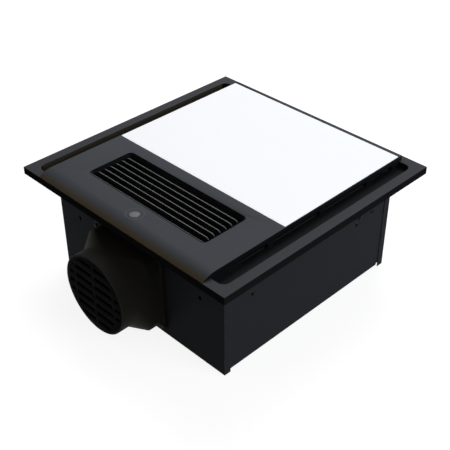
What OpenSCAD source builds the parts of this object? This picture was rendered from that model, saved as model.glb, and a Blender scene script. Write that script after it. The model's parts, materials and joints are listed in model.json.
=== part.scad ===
// Ceiling bathroom unit: air heater, exhaust fan and panel light in one sheet metal box.
// It lies on its back with the fascia up, as it stands on a bench.
// +Z points from the back plate to the room side, and the duct leaves towards -Y.
// The origin is the centre of the back plate's outer face.

/* [Fascia] */
// Side of the square fascia
fascia_w = 350; // [320:1:380]
// Height of the fascia's edge
fascia_t = 10; // [9:0.5:14]
// Wall of the moulded fascia pieces
skin = 2.5; // [2:0.1:3]
// Flat strip beside the troughs
side_strip = 13.5; // [12:0.1:15]
// Clear width of each air intake trough
trough_w = 19.1; // [15:0.1:21]
// Flat strip in front of the troughs
trough_front = 12.6; // [11:0.1:14]
// Flat strip behind the troughs
trough_back = 14; // [12:0.5:16]
// Corner radius of the troughs
trough_r = 9; // [6:0.5:10]
// Thickness of the troughs' floor
floor_t = 2; // [1.6:0.1:2.6]
// Length of the end slots in a trough's inner wall
slot_short = 40; // [30:1:42]
// Rib between two slots
slot_rib = 10; // [6:0.5:12]
// Plain wall in front of the slots
slot_front = 46.15; // [40:0.05:52]
// Plain wall behind the slots
slot_back = 13.25; // [12:0.05:20]
// Height of the intake slots
slot_h = 6.5; // [5:0.1:7.2]

/* [Centre panel] */
// Height of the centre panel above the flat fascia
panel_rise = 5.9; // [5:0.1:7]
// Flat strip behind the centre panel
panel_back = 8; // [5:0.5:11]
// Length of the panel's rounded nose
nose_l = 20; // [16:0.5:26]
// Radius of the receiver window
window_r = 6.3; // [4:0.1:7]
// Place of the receiver window across the panel
window_x = 5.8; // [-60:0.1:60]
// Distance of the receiver window from the front edge
window_front = 26.4; // [24:0.1:29]

/* [Light] */
// Panel rim behind the light
light_back = 5.7; // [4:0.1:8]
// Thickness of the light diffuser
light_t = 2.5; // [2:0.1:3]
// Panel rim beside the light
light_rim = 0.8; // [0.6:0.1:2]
// Rows of light chips
chip_rows = 6; // [3:1:10]
// Columns of light chips
chip_cols = 10; // [4:1:14]
// Depth of the light tray
tray_d = 9.5; // [8:0.1:9.9]

/* [Outlet] */
// Room beside the warm air outlet for the drive of the vanes
drive_room = 45.6; // [44:0.1:50]
// Distance of the outlet's front behind the damper's hinge
outlet_in = 3.6; // [3.4:0.1:5]
// Length of the warm air outlet
outlet_l = 64.4; // [63:0.1:66]
// Panel bar between the outlet and the light
outlet_bar = 18.6; // [17.5:0.1:22]
// Width of the lip around the outlet
outlet_lip = 1.6; // [1.2:0.1:2]
// Distance from vane to vane
vane_pitch = 9; // [8.5:0.1:9.4]
// Thickness of a vane
vane_t = 1.3; // [1:0.1:1.8]
// Depth of a vane along the air flow
vane_chord = 14; // [12:0.1:14.2]
// Radius of a vane's pivot pins
pivot_r = 1.5; // [1.2:0.1:1.8]
// Distance from a vane's pivot to its link pin
crank_l = 6; // [5.5:0.1:6.2]
// Radius of the vane motor
vane_motor_r = 10; // [8:0.1:10]

/* [Body] */
// Overhang of the fascia past the side walls
overhang_x = 30; // [27:0.1:33]
// Overhang of the fascia past the end walls
overhang_y = 28.8; // [27:0.1:31]
// Sheet metal thickness
sheet = 1.2; // [0.8:0.1:1.5]
// Width of the end walls' folded edges
wrap_w = 9.6; // [8:0.1:12]
// Outer bend radius along the back plate
bend_r = 5; // [3:0.5:6]
// Distance of the fixing holes in the duct wall from the side walls
fixing_in = 37.5; // [30:0.5:50]
// Radius of the fixing holes
fixing_r = 2.5; // [2:0.1:3.5]
// Height of the fixing holes
fixing_z = 92.3; // [60:0.1:110]

/* [Duct] */
// Outer radius of the duct spigot
duct_r = 52.1; // [48:0.1:57]
// Wall of the duct adapter
duct_wall = 2.1; // [1.6:0.1:2.6]
// Place of the duct across the box
duct_x = -10.3; // [-16:0.1:10]
// Height of the adapter's base above the back
duct_base = 7.4; // [6:0.1:9]
// Reach of the adapter beyond the box
duct_reach = 57.4; // [56:0.1:80]
// Length of the round spigot
spigot_l = 21; // [16:0.5:24]
// Length of the change from square to round
loft_l = 17.5; // [12:0.5:20]
// Reach of the adapter's square base past the spigot to each side
lobe_side = 2.9; // [2.5:0.1:4]
// Reach of the adapter's square base past the spigot above and below
lobe_over = 0.9; // [0.8:0.1:1.2]
// Reach of the adapter's flange past its base to each side
flange_ear = 5.8; // [5.2:0.1:8]
// Thickness of the adapter's flange
flange_t = 4.8; // [4.4:0.1:6]
// Step from the spigot's outside in to the port through the duct wall
port_step = 6.1; // [5.8:0.1:9]
// Row pitch of the mouth guard
guard_pitch = 13; // [12:0.1:14]
// Column pitch of the mouth guard
guard_col = 35; // [30:0.5:35]
// Height of a guard bar
guard_bar = 7.5; // [5:0.1:8]
// Depth of a guard bar
guard_t = 1.8; // [1.4:0.1:2.4]

/* [Changeover damper] */
// Height of the closed damper plate's lower edge above the back
plate_base = 14; // [12.8:0.1:16]
// Thickness of the damper plate
plate_t = 1.5; // [1.2:0.1:2]
// Distance of the damper's hinge from the duct wall
hinge_in = 12.2; // [12:0.1:13]
// Height of the damper's hinge above the duct port
hinge_over = 4.6; // [4.2:0.1:6]
// Radius of the damper's shaft
shaft_r = 2.5; // [2:0.1:2.6]
// Reach of the air chamber past the outlet to each side
chamber_side = 2.6; // [2:0.1:4]
// Wall of the moulded air guides
wall = 2; // [1.6:0.1:2.2]

/* [Heater] */
// Height of the heater's frame
heater_h = 19; // [16:0.5:22]
// Gap between the heater and the fascia's rear face
heater_gap = 3; // [2.5:0.1:6]
// Number of ceramic bars
bar_n = 5; // [3:1:6]
// Thickness of a ceramic bar
bar_t = 3; // [2.4:0.1:4]
// Pitch of the corrugated fins
fin_pitch = 8; // [7:0.5:12]
// Thickness of the fin strip
fin_t = 0.5; // [0.4:0.05:0.8]

/* [Blower] */
// Room between the scroll's inner circle and the air chamber
scroll_near = 8.5; // [7.5:0.1:12]
// Room between the scroll's inner circle and the far wall
scroll_far = 20; // [19:0.1:24]
// Number of impeller blades
blade_n = 36; // [20:1:44]
// Length of a blade along the radius
blade_l = 13; // [10:0.5:14]
// Thickness of a blade
blade_t = 1.2; // [1:0.1:1.6]
// Clear height inside the scroll
scroll_h = 70; // [66:1:74]
// Height of the scroll's floor above the back
scroll_z = 20; // [18:0.5:24]
// Gap between the impeller and the scroll's tongue
tongue_gap = 5; // [4:0.5:7]
// Growth of the scroll's radius from tongue to outlet
scroll_grow = 22; // [16:0.5:23]
// Place of the impeller's axis across the box
blower_x = 12; // [8:0.5:14]
// Clear ring between the fan motor and the blades
motor_room = 15; // [14:0.5:20]
// Radius of the motor's shaft
motor_shaft_r = 4; // [3:0.1:5]

/* [Electrics] */
// Width of the control box
control_w = 38; // [30:1:39]
// Room between the air chamber and the control box
control_near = 13.5; // [8:0.5:30]
// Room between the control box and the far wall
control_far = 30; // [16:1:60]
// Height of the control box
control_h = 48; // [40:1:60]
// Width of the light driver
driver_w = 38; // [30:1:40]
// Room between the air chamber and the light driver
driver_near = 21.5; // [20:0.5:40]
// Height of the light driver
driver_h = 26; // [20:1:34]
// Bore radius of the cable gland
gland_bore = 4.5; // [3:0.1:5.5]
// Distance of the cable gland from the far wall
gland_in = 42.2; // [36:0.2:50]
// Height of the cable gland
gland_z = 44; // [40:1:60]

/* [Hidden] */
$fn = 64;

// Small overlap of a cutting shape past the face that it cuts
eps = 0.5;
// Radial running clearance of pins and shafts
run = 0.05;
// Clearance between a moving piece and a fixed one
gap = 0.3;
// Clearance between fitted mouldings
fit = 0.2;

// Number of louvre vanes, one node each
vane_n = 6;

// Box under the fascia
half_f = fascia_w / 2;
body_w = fascia_w - 2 * overhang_x;
body_l = fascia_w - 2 * overhang_y;
x_side = body_w / 2;
y_end = body_l / 2;
x_wrap = x_side + sheet;
joggle = sheet;
// Reach of the end walls' lip under the back plate
lip_reach = 10.2;
lip_in = y_end - lip_reach;
// Gap between the side wall and the end wall's folded edge
wrap_gap = 0.05;

// Duct, damper and heater, stacked up from the back plate
port_r = duct_r - port_step;
lobe_w = 2 * (duct_r + lobe_side);
lobe_h = 2 * (duct_r + lobe_over);
flange_w = lobe_w + 2 * flange_ear;
duct_z = duct_base + lobe_h / 2;
hinge_z = duct_z + port_r + hinge_over;
plate_l = hinge_z - plate_base;
hinge_y = -y_end + hinge_in;
// Height of the air chamber above the hinge
chamber_head = 5;
chamber_top = hinge_z + chamber_head;
lid_top = chamber_top + wall;
z_heater = lid_top;
z_heater1 = z_heater + heater_h;
body_h = z_heater1 + heater_gap;

// Fascia and centre panel
z_seat = body_h;
z_flat = z_seat + fascia_t;
z_top = z_flat + panel_rise;
z_floor = z_seat + floor_t;
z_skirt = min(z_floor + slot_h, z_flat - gap);
x_trough = half_f - side_strip;
x_panel = x_trough - trough_w;
y_front = -half_f;
y_trough0 = y_front + trough_front;
y_trough1 = half_f - trough_back;
y_panel1 = half_f - panel_back;
y_light1 = y_panel1 - light_back;
y_out0 = hinge_y + outlet_in;
y_out1 = y_out0 + outlet_l;
y_out = (y_out0 + y_out1) / 2;
y_light0 = y_out1 + outlet_bar;
x_out = x_side - drive_room;
y_window = y_front + window_front;
// Radius of the nose's arc, tangent to the top and meeting the fascia's front edge
nose_r = (nose_l * nose_l + panel_rise * panel_rise) / (2 * panel_rise);

slots_y0 = y_trough0 + slot_front;
slots_l = y_trough1 - slot_back - slots_y0;
slot_long = (slots_l - 2 * slot_short - 3 * slot_rib) / 2;
slot_starts = [slots_y0, slots_y0 + slot_short + slot_rib, slots_y0 + slot_short + slot_long + 2 * slot_rib,
  slots_y0 + slot_short + 2 * slot_long + 3 * slot_rib];
slot_lengths = [slot_short, slot_long, slot_long, slot_short];

// Width of the inward flanges at the top of the box
rim_w = 8;
x_floor = x_side - rim_w;
y_floor = y_end - sheet - rim_w - 1;
// Screws that hold the fascia to the box
fix_in = 35;
fix_x = x_side - fix_in;
fix_y = y_end - sheet - rim_w / 2;
fix_r = 1.9;
fix_head_r = 3.6;
fix_head_h = 2.2;
fix_l = 8;
fix_hole_r = 2.1;
fix_pilot_r = 2;
// Ribs under the fascia
rib_t = 1.6;
rib_up = 3;
rib_edge = 55;
rib_pitch = (half_f - rib_edge) / 2;

ledge_t = 2.4;
ledge_w = 8;
z_ledge = z_top - light_t - ledge_t;
tray_flange = 1.2;
// Gap between the ledge's opening and the tray's pan
tray_gap = 5;
tray_x = x_panel - skin - ledge_w - tray_gap;
tray_y0 = y_light0 + ledge_w + 3;
tray_y1 = y_floor - 2;
z_tray = z_ledge - tray_d;
tray_t = 1;
board_t = 1.2;
// Margin between the tray's wall and the light board
board_in = 6;
chip_w = 3;
chip_t = 0.8;
// Margin between the tray's wall and the outer chips
chip_in = 16;
// Receiver board behind the window
receiver_drop = 4;
receiver_x = 12;
receiver_front = 6;
receiver_back = 8;
receiver_r = 2.6;
receiver_h = 3.4;
receiver_post_r = 2;
receiver_post_x = 9;

// Vanes below the panel's top
vane_set = 0.9;
z_vane = z_top - vane_set - vane_chord / 2;
vane_r = 6;
// Gap between a vane's end and the bezel
vane_gap = 1.8;
vane_l = x_out - vane_gap;
bezel_t = 2.2;
bezel_r = 5;
x_bezel = x_out + bezel_t;
// Depth of the bezel's skirt around the top of the heater
bezel_lap = 8;
// Drive of the vanes, outward from the bezel
pin_reach = 1.6;
pin_end = x_bezel + pin_reach;
crank_t = 2;
crank_r = 2;
crank_gap = 0.6;
link_gap = 0.4;
x_crank = x_bezel + crank_gap;
x_link = x_crank + crank_t + link_gap;
link_t = 2;
link_h = 4;
link_over = 3;
link_pin_r = 1.2;
z_link = z_vane - crank_l;
x_drive = x_link + link_t + 2 * link_gap;
drive = ceil(vane_n / 2) + 1;
function vane_y(i) = y_out + (i - (vane_n + 1) / 2) * vane_pitch;
vane_motor_gap = 3.6;
x_vane_motor = x_drive + vane_motor_gap;
vane_motor_l = 14;
vane_motor_drop = 5;
vane_shaft_r = 2.5;
vane_shaft_in = 3.5;
bracket_half = 12;

// Openings of the side walls, in from an end wall and down from the fascia
hole_in = 64.2;
hole_down = 46.4;
hole_r = 2.2;
far_slot_in = 30.7;
far_slot_l = 7;
far_slot_h = 2.2;
far_slot_down = 39.8;
near_slot_in = 24.2;
near_slot_l = 8;
near_slot_h = 1.8;
near_slot_down = 33.7;
clip_in = 42.2;
clip_l = 5;
clip_h = 1.8;
clip_down = 44.2;
clip_hole_r = 1.6;
clip_hole_drop = 3.2;
// Screws of the side walls
side_screw_in = 58.2;
side_screw_down = 38.6;
side_screw_r = 1.4;
side_screw_l = 6;
side_head_r = 3.2;
side_head_h = 1.6;
pilot_gap = 0.1;

y_flange = -y_end - flange_t;
y_mouth = -y_end - duct_reach;
y_spigot = y_mouth + spigot_l;
y_lobe = y_spigot + loft_l;
duct_in = duct_r - duct_wall;
seat_t = 2.8;
lobe_r = 18;
flange_r = 8;
// Screws of the adapter's flange
screw_edge = 2.8;
screw_end = 9;
screw_dx = flange_w / 2 - screw_edge;
screw_dz = lobe_h / 2 - screw_end;
adapter_screw_r = 1.4;
adapter_hole_r = 1.8;
adapter_head_r = 2.6;
adapter_head_h = 1.6;
// Mouth guard
guard_ring = 3.5;
guard_rib = 4.5;
guard_rows = 3;

// Backdraught flaps
flap_lap = 1.5;
flap_r = port_r + flap_lap;
flap_t = 1;
flap_pin_r = 1.2;
flap_pin_in = 0.8;
flap_half_gap = 0.4;
knuckle_r = 2.5;
knuckle_leaf = 3.5;
y_flap_pin = -y_end - seat_t - gap - knuckle_r;
knuckle_l = 20;

// Air chamber and changeover damper
chamber_x = x_out + chamber_side;
chamber_w = 2 * chamber_x;
chamber_out = chamber_x + wall;
chamber_back = 2;
chamber_y0 = -y_end + sheet + wall + chamber_back;
// Gap between the swung plate's edge and the chamber's wall
plate_gap = 1.5;
chamber_y1 = hinge_y + plate_l + plate_gap;
chamber_z0 = joggle + sheet;
sleeve_wall = 1.1;
sleeve_r = shaft_r + sleeve_wall;
press = 0.02;
seal_t = 1.5;
seal_lap = 3;
seal_in = 4;
boss_reach = 2;
damper_rib_h = 2.5;
damper_rib_t = 2;
damper_rib_gap = 3;
rim_y = hinge_y - plate_t / 2 - seal_t - gap;
// Wall of the rim around the duct port
port_rim = 2.5;
// Feet under the air chamber
foot_r = 6;
foot_in = 12;
foot_x = chamber_x - foot_in;
foot_y0 = hinge_y + foot_in + 8;
foot_y1 = chamber_y1 - foot_in;
// Opening from the air chamber into the heater
throat_in = 3.4;
throat_x = x_out - throat_in;
throat_y0 = y_out0 + 2.9;
throat_y1 = y_out1 - throat_in;
ledge_drop = chamber_top - hinge_z - plate_t / 2 - gap;

heater_fit = 0.4;
heater_x = x_out - heater_fit;
heater_y0 = y_out0 + heater_fit;
heater_y1 = y_out1 - heater_fit;
heater_wall = 3;
bar_in = 1.5;
fin_in = 2;
bar_span = heater_y1 - heater_y0 - 2 * heater_wall;
bar_pitch = (bar_span - bar_t) / (bar_n - 1);

// Thermal cut-outs on the air chamber's lid
cutout_x = 62;
cutout_r = 8;
cutout_h = 7;
cutout_cap_r = 5;
cutout_cap_h = 3;
tab_w = 2;
tab_t = 1.5;
tab_h = 7;
tab_in = 5.5;

// Damper motor in its cup on the chamber's side
damper_motor_r = 14;
damper_motor_l = 19;
damper_motor_y = hinge_y + 7;
damper_motor_z = hinge_z - 4;
damper_motor_gap = 2.3;
damper_shaft_in = 4.5;
cup_wall = 1.6;
cup_l = 8;
cup_floor = 2;

// Blower
scroll_top = scroll_z + wall + scroll_h;
scroll_port_y = chamber_y1 + wall;
scroll_r0 = (y_end - sheet - scroll_far - scroll_port_y - scroll_near) / 2;
blower_y = scroll_port_y + scroll_near + scroll_r0;
impeller_r = scroll_r0 - tongue_gap;
scroll_r1 = scroll_r0 + scroll_grow;
scroll_start = 250;
scroll_turn = 290;
scroll_steps = 48;
tongue_x = blower_x + scroll_r0 * cos(scroll_start);
scroll_x0 = blower_x - scroll_r1;
// Depth of the tongue towards the axis, as a share of the scroll's inner radius
tongue_share = 0.93;
blade_in = impeller_r - blade_l;
blade_tilt = 18;
blade_tip = 1;
inlet_gap = 1;
inlet_r = blade_in - inlet_gap;
inlet_wall = 2.5;
inlet_in = 3;
inlet_h = 9;
function scroll_radius(i) = scroll_r0 + scroll_grow * i / scroll_steps;
function scroll_point(i, extra) = let (a = scroll_start + scroll_turn * i / scroll_steps)
  [blower_x, blower_y] + (scroll_radius(i) + extra) * [cos(a), sin(a)];

motor_r = blade_in - motor_room;
z_grommet = scroll_z + wall;
grommet_h = 2;
grommet_r = 4.4;
flange_ring_t = 2;
flange_ring_w = 12;
// Screws around the motor's mounting ring
motor_fix_r = motor_r + 8;
motor_fix_a = [30 : 120 : 270];
motor_hole_r = 2.2;
motor_screw_r = 2;
motor_screw_l = 3;
motor_head_r = 3.6;
motor_head_h = 2;
motor_hole_gap = 3;
motor_shoulder = 6;
motor_bush = 12;
impeller_gap = 4;
z_impeller = z_grommet + grommet_h + flange_ring_t + impeller_gap;
impeller_under = 5;
impeller_top = scroll_top - impeller_under;
ring_h = 3;
ring_w = 5;
hub_gap = 5;
hub_r = motor_r + hub_gap;
motor_under = 2.8;
motor_z0 = sheet + motor_under;
motor_rise = 24;
motor_top = z_impeller + motor_rise;
hub_head = 4;
hub_top = motor_top + hub_head;
boss_h = 4;
boss_wall = 5;
boss_top = hub_top + boss_h;
nut_h = 5;
nut_wall = 4;
shaft_in = 13.5;
shaft_over = 7;
scroll_foot_r = 5;
scroll_foot_in = 8;

// Electric parts beside the blower
control_x = x_side - bend_r - control_w;
control_y = scroll_port_y + control_near;
control_l = y_end - sheet - control_far - control_y;
cover_t = 1.2;
wire_gap_in = 20;
wire_gap_w = 20;
wire_gap_h = 10;
post_r = 2.5;
post_h = 5;
post_x = 6;
post_y = 8;
pcb_t = 1.6;
pcb_in = 1;
relay_in = 12;
relay_l = 15;
relay_w = 16;
relay_h = 15;
relay_pitch = 19;
transformer_l = 25;
transformer_w = 22;
transformer_h = 22;
transformer_in = 20;
relay_n = floor((control_l - relay_in - transformer_in - transformer_l) / relay_pitch);
plug_x = 18;
plug_w = 5;
plug_l = (relay_n - 1) * relay_pitch + relay_l;
plug_h = 9;
terminal_l = 44;
terminal_w = 18;
terminal_h = 18;
terminal_in = 2;
terminal_far = 17;
terminal_gap = 8;
terminal_n = 5;
terminal_pitch = 8;
terminal_hole_r = 2.4;
terminal_y = y_end - sheet - terminal_far - terminal_l;
driver_x = -x_side + bend_r + fit;
driver_y = scroll_port_y + driver_near;
driver_l = terminal_y - terminal_gap - driver_y;
driver_tab = 6;
driver_tab_in = 10;
driver_tab_t = 2;
driver_hole_r = 1.6;
capacitor_w = 20;
capacitor_l = 18;
capacitor_h = 34;
capacitor_gap = 12;
gland_y = y_end - gland_in;
gland_thread_r = gland_bore + 2;
gland_fit = 0.2;
gland_in_l = 10;
gland_out_l = 12;
gland_cap_wall = 4;
gland_hex_wall = 6;
gland_nut_wall = 5;
gland_hex_t = 4;
gland_seat = 3;

black = [0.11, 0.115, 0.12];
charcoal = [0.27, 0.285, 0.3];
sheet_black = [0.15, 0.16, 0.17];
steel = [0.72, 0.73, 0.75];
zinc = [0.6, 0.62, 0.64];
white = [0.95, 0.96, 0.98];
board_green = [0.12, 0.36, 0.2];
ceramic = [0.85, 0.82, 0.76];
rubber = [0.08, 0.08, 0.08];
relay_blue = [0.2, 0.35, 0.6];
chip_yellow = [0.95, 0.85, 0.35];

// Block between two opposite corners
module block(a, b) {
  translate(a) cube(b - a);
}

// Block between two opposite corners with rounded upright edges
module rounded(a, b, r) {
  block([a[0] + r, a[1], a[2]], [b[0] - r, b[1], b[2]]);
  block([a[0], a[1] + r, a[2]], [b[0], b[1] - r, b[2]]);
  for (x = [a[0] + r, b[0] - r], y = [a[1] + r, b[1] - r])
    translate([x, y, a[2]]) cylinder(r = r, h = b[2] - a[2]);
}

// Block between two opposite corners, rounded as seen along Y
module rounded_y(a, b, r) {
  block([a[0] + r, a[1], a[2]], [b[0] - r, b[1], b[2]]);
  block([a[0], a[1], a[2] + r], [b[0], b[1], b[2] - r]);
  for (x = [a[0] + r, b[0] - r], z = [a[2] + r, b[2] - r])
    translate([x, a[1], z]) rotate([-90, 0, 0]) cylinder(r = r, h = b[1] - a[1]);
}

// Round rod along X, from x0 to x1
module rod_x(r, x0, x1, y, z) {
  translate([x0, y, z]) rotate([0, 90, 0]) cylinder(r = r, h = x1 - x0);
}

// Round rod along Y, from y0 to y1
module rod_y(r, y0, y1, x, z) {
  translate([x, y0, z]) rotate([-90, 0, 0]) cylinder(r = r, h = y1 - y0);
}

// Round rod along Z, from z0 to z1
module rod_z(r, z0, z1, x, y) {
  translate([x, y, z0]) cylinder(r = r, h = z1 - z0);
}

// The children and their mirror image across the box
module both_sides() {
  children();
  mirror([1, 0, 0]) children();
}

// Square moulded frame with a trough along each side
module fascia_frame() {
  trough_wall = skin - 0.3;
  color(charcoal) {
    difference() {
      block([-half_f, -half_f, z_seat], [half_f, half_f, z_flat]);
      difference() {
        block([-half_f + skin, -half_f + skin, z_seat - eps], [half_f - skin, half_f - skin, z_flat - skin]);
        block([-x_trough - trough_wall, y_trough0 - trough_wall, z_seat - 2 * eps],
          [x_trough + trough_wall, y_trough1 + trough_wall, z_flat]);
        for (i = [-2 : 2]) {
          at = i * rib_pitch - rib_t / 2;
          block([at, -half_f, z_seat + rib_up], [at + rib_t, half_f, z_flat]);
          block([-half_f, at, z_seat + rib_up], [half_f, at + rib_t, z_flat]);
        }
      }
      rounded([-x_trough, y_trough0, z_floor], [x_trough, y_trough1, z_flat + eps], trough_r);
      block([-x_floor, -y_floor, z_seat - eps], [x_floor, y_floor, z_floor + eps]);
      for (x = [-fix_x, fix_x], y = [-fix_y, fix_y])
        rod_z(fix_hole_r, z_seat - eps, z_floor + eps, x, y);
    }
    both_sides() difference() {
      block([x_panel - skin, y_trough0, z_floor], [x_panel, y_trough1, z_skirt]);
      for (i = [0 : 3])
        block([x_panel - skin - eps, slot_starts[i], z_floor],
          [x_panel + eps, slot_starts[i] + slot_lengths[i], z_skirt + eps]);
    }
  }
}

// Raised centre panel with its rounded nose, the light's window and the outlet
module centre_panel() {
  x_in = x_panel - skin;
  color(charcoal) {
    difference() {
      union() {
        block([-x_panel, y_front + nose_l, z_flat], [x_panel, y_panel1, z_top]);
        intersection() {
          block([-x_panel, y_front, z_flat], [x_panel, y_front + nose_l, z_top]);
          rod_x(nose_r, -x_panel, x_panel, y_front + nose_l, z_top - nose_r);
        }
        both_sides() block([x_in, y_trough0 + fit, z_skirt], [x_panel, y_trough1 - fit, z_flat]);
      }
      block([-x_in, y_front + nose_l - 3, z_flat - eps], [x_in, y_panel1 - skin, z_top - skin]);
      block([-x_panel + light_rim, y_light0, z_top - skin - eps],
        [x_panel - light_rim, y_light1, z_top + eps]);
      rounded([-x_out - outlet_lip - fit, y_out0 - outlet_lip - fit, z_top - skin - eps],
        [x_out + outlet_lip + fit, y_out1 + outlet_lip + fit, z_top + eps], bezel_r + outlet_lip);
      rod_z(window_r + fit, z_top - skin - eps, z_top + eps, window_x, y_window);
    }
    difference() {
      block([-x_in, y_light0 - ledge_w, z_ledge], [x_in, y_panel1 - skin, z_top - max(light_t, skin)]);
      block([-x_in + ledge_w, y_light0 + ledge_w, z_ledge - eps],
        [x_in - ledge_w, y_light1 - ledge_w, z_top]);
    }
    for (x = [-receiver_post_x, receiver_post_x])
      rod_z(receiver_post_r, z_top - skin - receiver_drop, z_top - skin, window_x + x, y_window);
  }
}

// Dark round window over the remote receiver
module receiver_window() {
  color(black) {
    rod_z(window_r, z_top - skin, z_top, window_x, y_window);
  }
}

// Small board with the remote receiver's lens
module receiver_board() {
  z_board = z_top - skin - receiver_drop;
  color(board_green) {
    block([window_x - receiver_x, y_window - receiver_front, z_board - board_t],
      [window_x + receiver_x, y_window + receiver_back, z_board]);
    rod_z(receiver_r, z_board, z_board + receiver_h, window_x, y_window);
  }
}

// Opal panel over the light
module light_diffuser() {
  x_light = x_panel - light_rim - fit;
  color(white) {
    rounded([-x_light, y_light0 + fit, z_top - light_t], [x_light, y_light1 - fit, z_top], 1);
  }
}

// Aluminium tray behind the light
module light_tray() {
  x_rim = x_panel - skin - 2;
  color(steel) {
    difference() {
      union() {
        block([-x_rim, y_light0 - ledge_w + 3, z_ledge - tray_flange], [x_rim, y_light1 - 3, z_ledge]);
        block([-tray_x, tray_y0, z_tray], [tray_x, tray_y1, z_ledge]);
      }
      block([-tray_x + tray_t, tray_y0 + tray_t, z_tray + tray_t],
        [tray_x - tray_t, tray_y1 - tray_t, z_ledge + eps]);
    }
  }
}

// Board that carries the light chips
module led_board() {
  color(white) {
    block([-tray_x + board_in, tray_y0 + board_in, z_tray + tray_t],
      [tray_x - board_in, tray_y1 - board_in, z_tray + tray_t + board_t]);
  }
}

// Light chips on their board
module led_chips() {
  z_chip = z_tray + tray_t + board_t;
  x_step = 2 * (tray_x - chip_in) / (chip_cols - 1);
  y_step = (tray_y1 - tray_y0 - 2 * chip_in) / (chip_rows - 1);
  color(chip_yellow) {
    for (i = [0 : chip_cols - 1], j = [0 : chip_rows - 1])
      translate([-tray_x + chip_in + x_step * i, tray_y0 + chip_in + y_step * j, z_chip])
        translate([-chip_w / 2, -chip_w / 2, 0]) cube([chip_w, chip_w, chip_t]);
  }
}

// Rectangular mouth that carries the vanes
module outlet_bezel() {
  z_shoulder = z_top - skin;
  color(black) {
    difference() {
      union() {
        rounded([-x_bezel, y_out0 - bezel_t, z_heater1 - bezel_lap], [x_bezel, y_out1 + bezel_t, z_shoulder],
          bezel_r + bezel_t);
        rounded([-x_out - outlet_lip, y_out0 - outlet_lip, z_heater1],
          [x_out + outlet_lip, y_out1 + outlet_lip, z_top + gap], bezel_r + outlet_lip);
      }
      rounded([-x_out, y_out0, z_heater1], [x_out, y_out1, z_top + gap + eps], bezel_r);
      block([-x_out, y_out0, z_heater1 - bezel_lap - eps], [x_out, y_out1, z_heater1 + eps]);
      for (i = [1 : vane_n])
        rod_x(pivot_r + run, -x_bezel - eps, x_bezel + eps, vane_y(i), z_vane);
    }
  }
}

// One louvre vane with its pivot pins and crank
module vane(i) {
  y = vane_y(i);
  z0 = z_vane - vane_chord / 2;
  color(charcoal) {
    rounded_y([-vane_l, y - vane_t / 2, z0], [vane_l, y + vane_t / 2, z0 + vane_chord], vane_r);
    rod_x(pivot_r, -pin_end, -vane_l + vane_r, y, z_vane);
    rod_x(pivot_r, vane_l - vane_r, x_crank + crank_t / 2, y, z_vane);
    rod_x(crank_r, x_crank, x_crank + crank_t, y, z_vane);
    rod_x(crank_r, x_crank, x_crank + crank_t, y, z_link);
    block([x_crank, y - crank_r, z_link], [x_crank + crank_t, y + crank_r, z_vane]);
    rod_x(link_pin_r, x_crank + crank_t / 2, x_drive - run, y, z_link);
    if (i == drive)
      rod_x(pivot_r, x_crank + crank_t / 2, x_drive, y, z_vane);
  }
}

module vane_1() vane(1);
module vane_2() vane(2);
module vane_3() vane(3);
module vane_4() vane(4);
module vane_5() vane(5);
module vane_6() vane(6);

// Bar that joins the vanes' cranks
module vane_link() {
  color(steel) {
    difference() {
      block([x_link, vane_y(1) - link_over, z_link - link_h / 2],
        [x_link + link_t, vane_y(vane_n) + link_over, z_link + link_h / 2]);
      for (i = [1 : vane_n])
        rod_x(link_pin_r + run, x_link - eps, x_link + link_t + eps, vane_y(i), z_link);
    }
  }
}

// Small stepper motor that tilts the vanes
module vane_motor() {
  y = vane_y(drive);
  color(zinc) {
    difference() {
      rod_x(vane_motor_r, x_vane_motor, x_vane_motor + vane_motor_l, y, z_vane - vane_motor_drop);
      rod_x(vane_shaft_r + run, x_vane_motor - eps, x_vane_motor + vane_shaft_in + eps, y, z_vane);
    }
  }
}

// Output shaft of the vane motor, pushed on the driven vane's pin
module vane_motor_shaft() {
  color(steel) {
    rod_x(vane_shaft_r, x_drive, x_vane_motor + vane_shaft_in, vane_y(drive), z_vane);
  }
}

// Angle bracket that holds the vane motor to the bezel
module vane_motor_bracket() {
  y = vane_y(drive);
  z_foot = z_heater1 - bezel_lap + 1;
  color(steel) {
    difference() {
      union() {
        block([x_bezel, y - bracket_half, z_foot], [x_bezel + sheet, y + bracket_half, z_heater1 + 1]);
        block([x_bezel, y - bracket_half, z_foot], [x_vane_motor, y + bracket_half, z_foot + sheet]);
        block([x_vane_motor - sheet, y - bracket_half, z_foot],
          [x_vane_motor, y + bracket_half, z_vane + vane_shaft_r + sheet + gap]);
      }
      rod_x(vane_shaft_r + 1, x_vane_motor - 2 * sheet, x_vane_motor + eps, y, z_vane);
    }
  }
}

// Screws that hold the fascia to the box
module fascia_screws() {
  color(zinc) {
    for (x = [-fix_x, fix_x], y = [-fix_y, fix_y]) {
      rod_z(fix_r, z_seat - fix_l, z_floor, x, y);
      rod_z(fix_head_r, z_floor, z_floor + fix_head_h, x, y);
    }
  }
}

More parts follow.
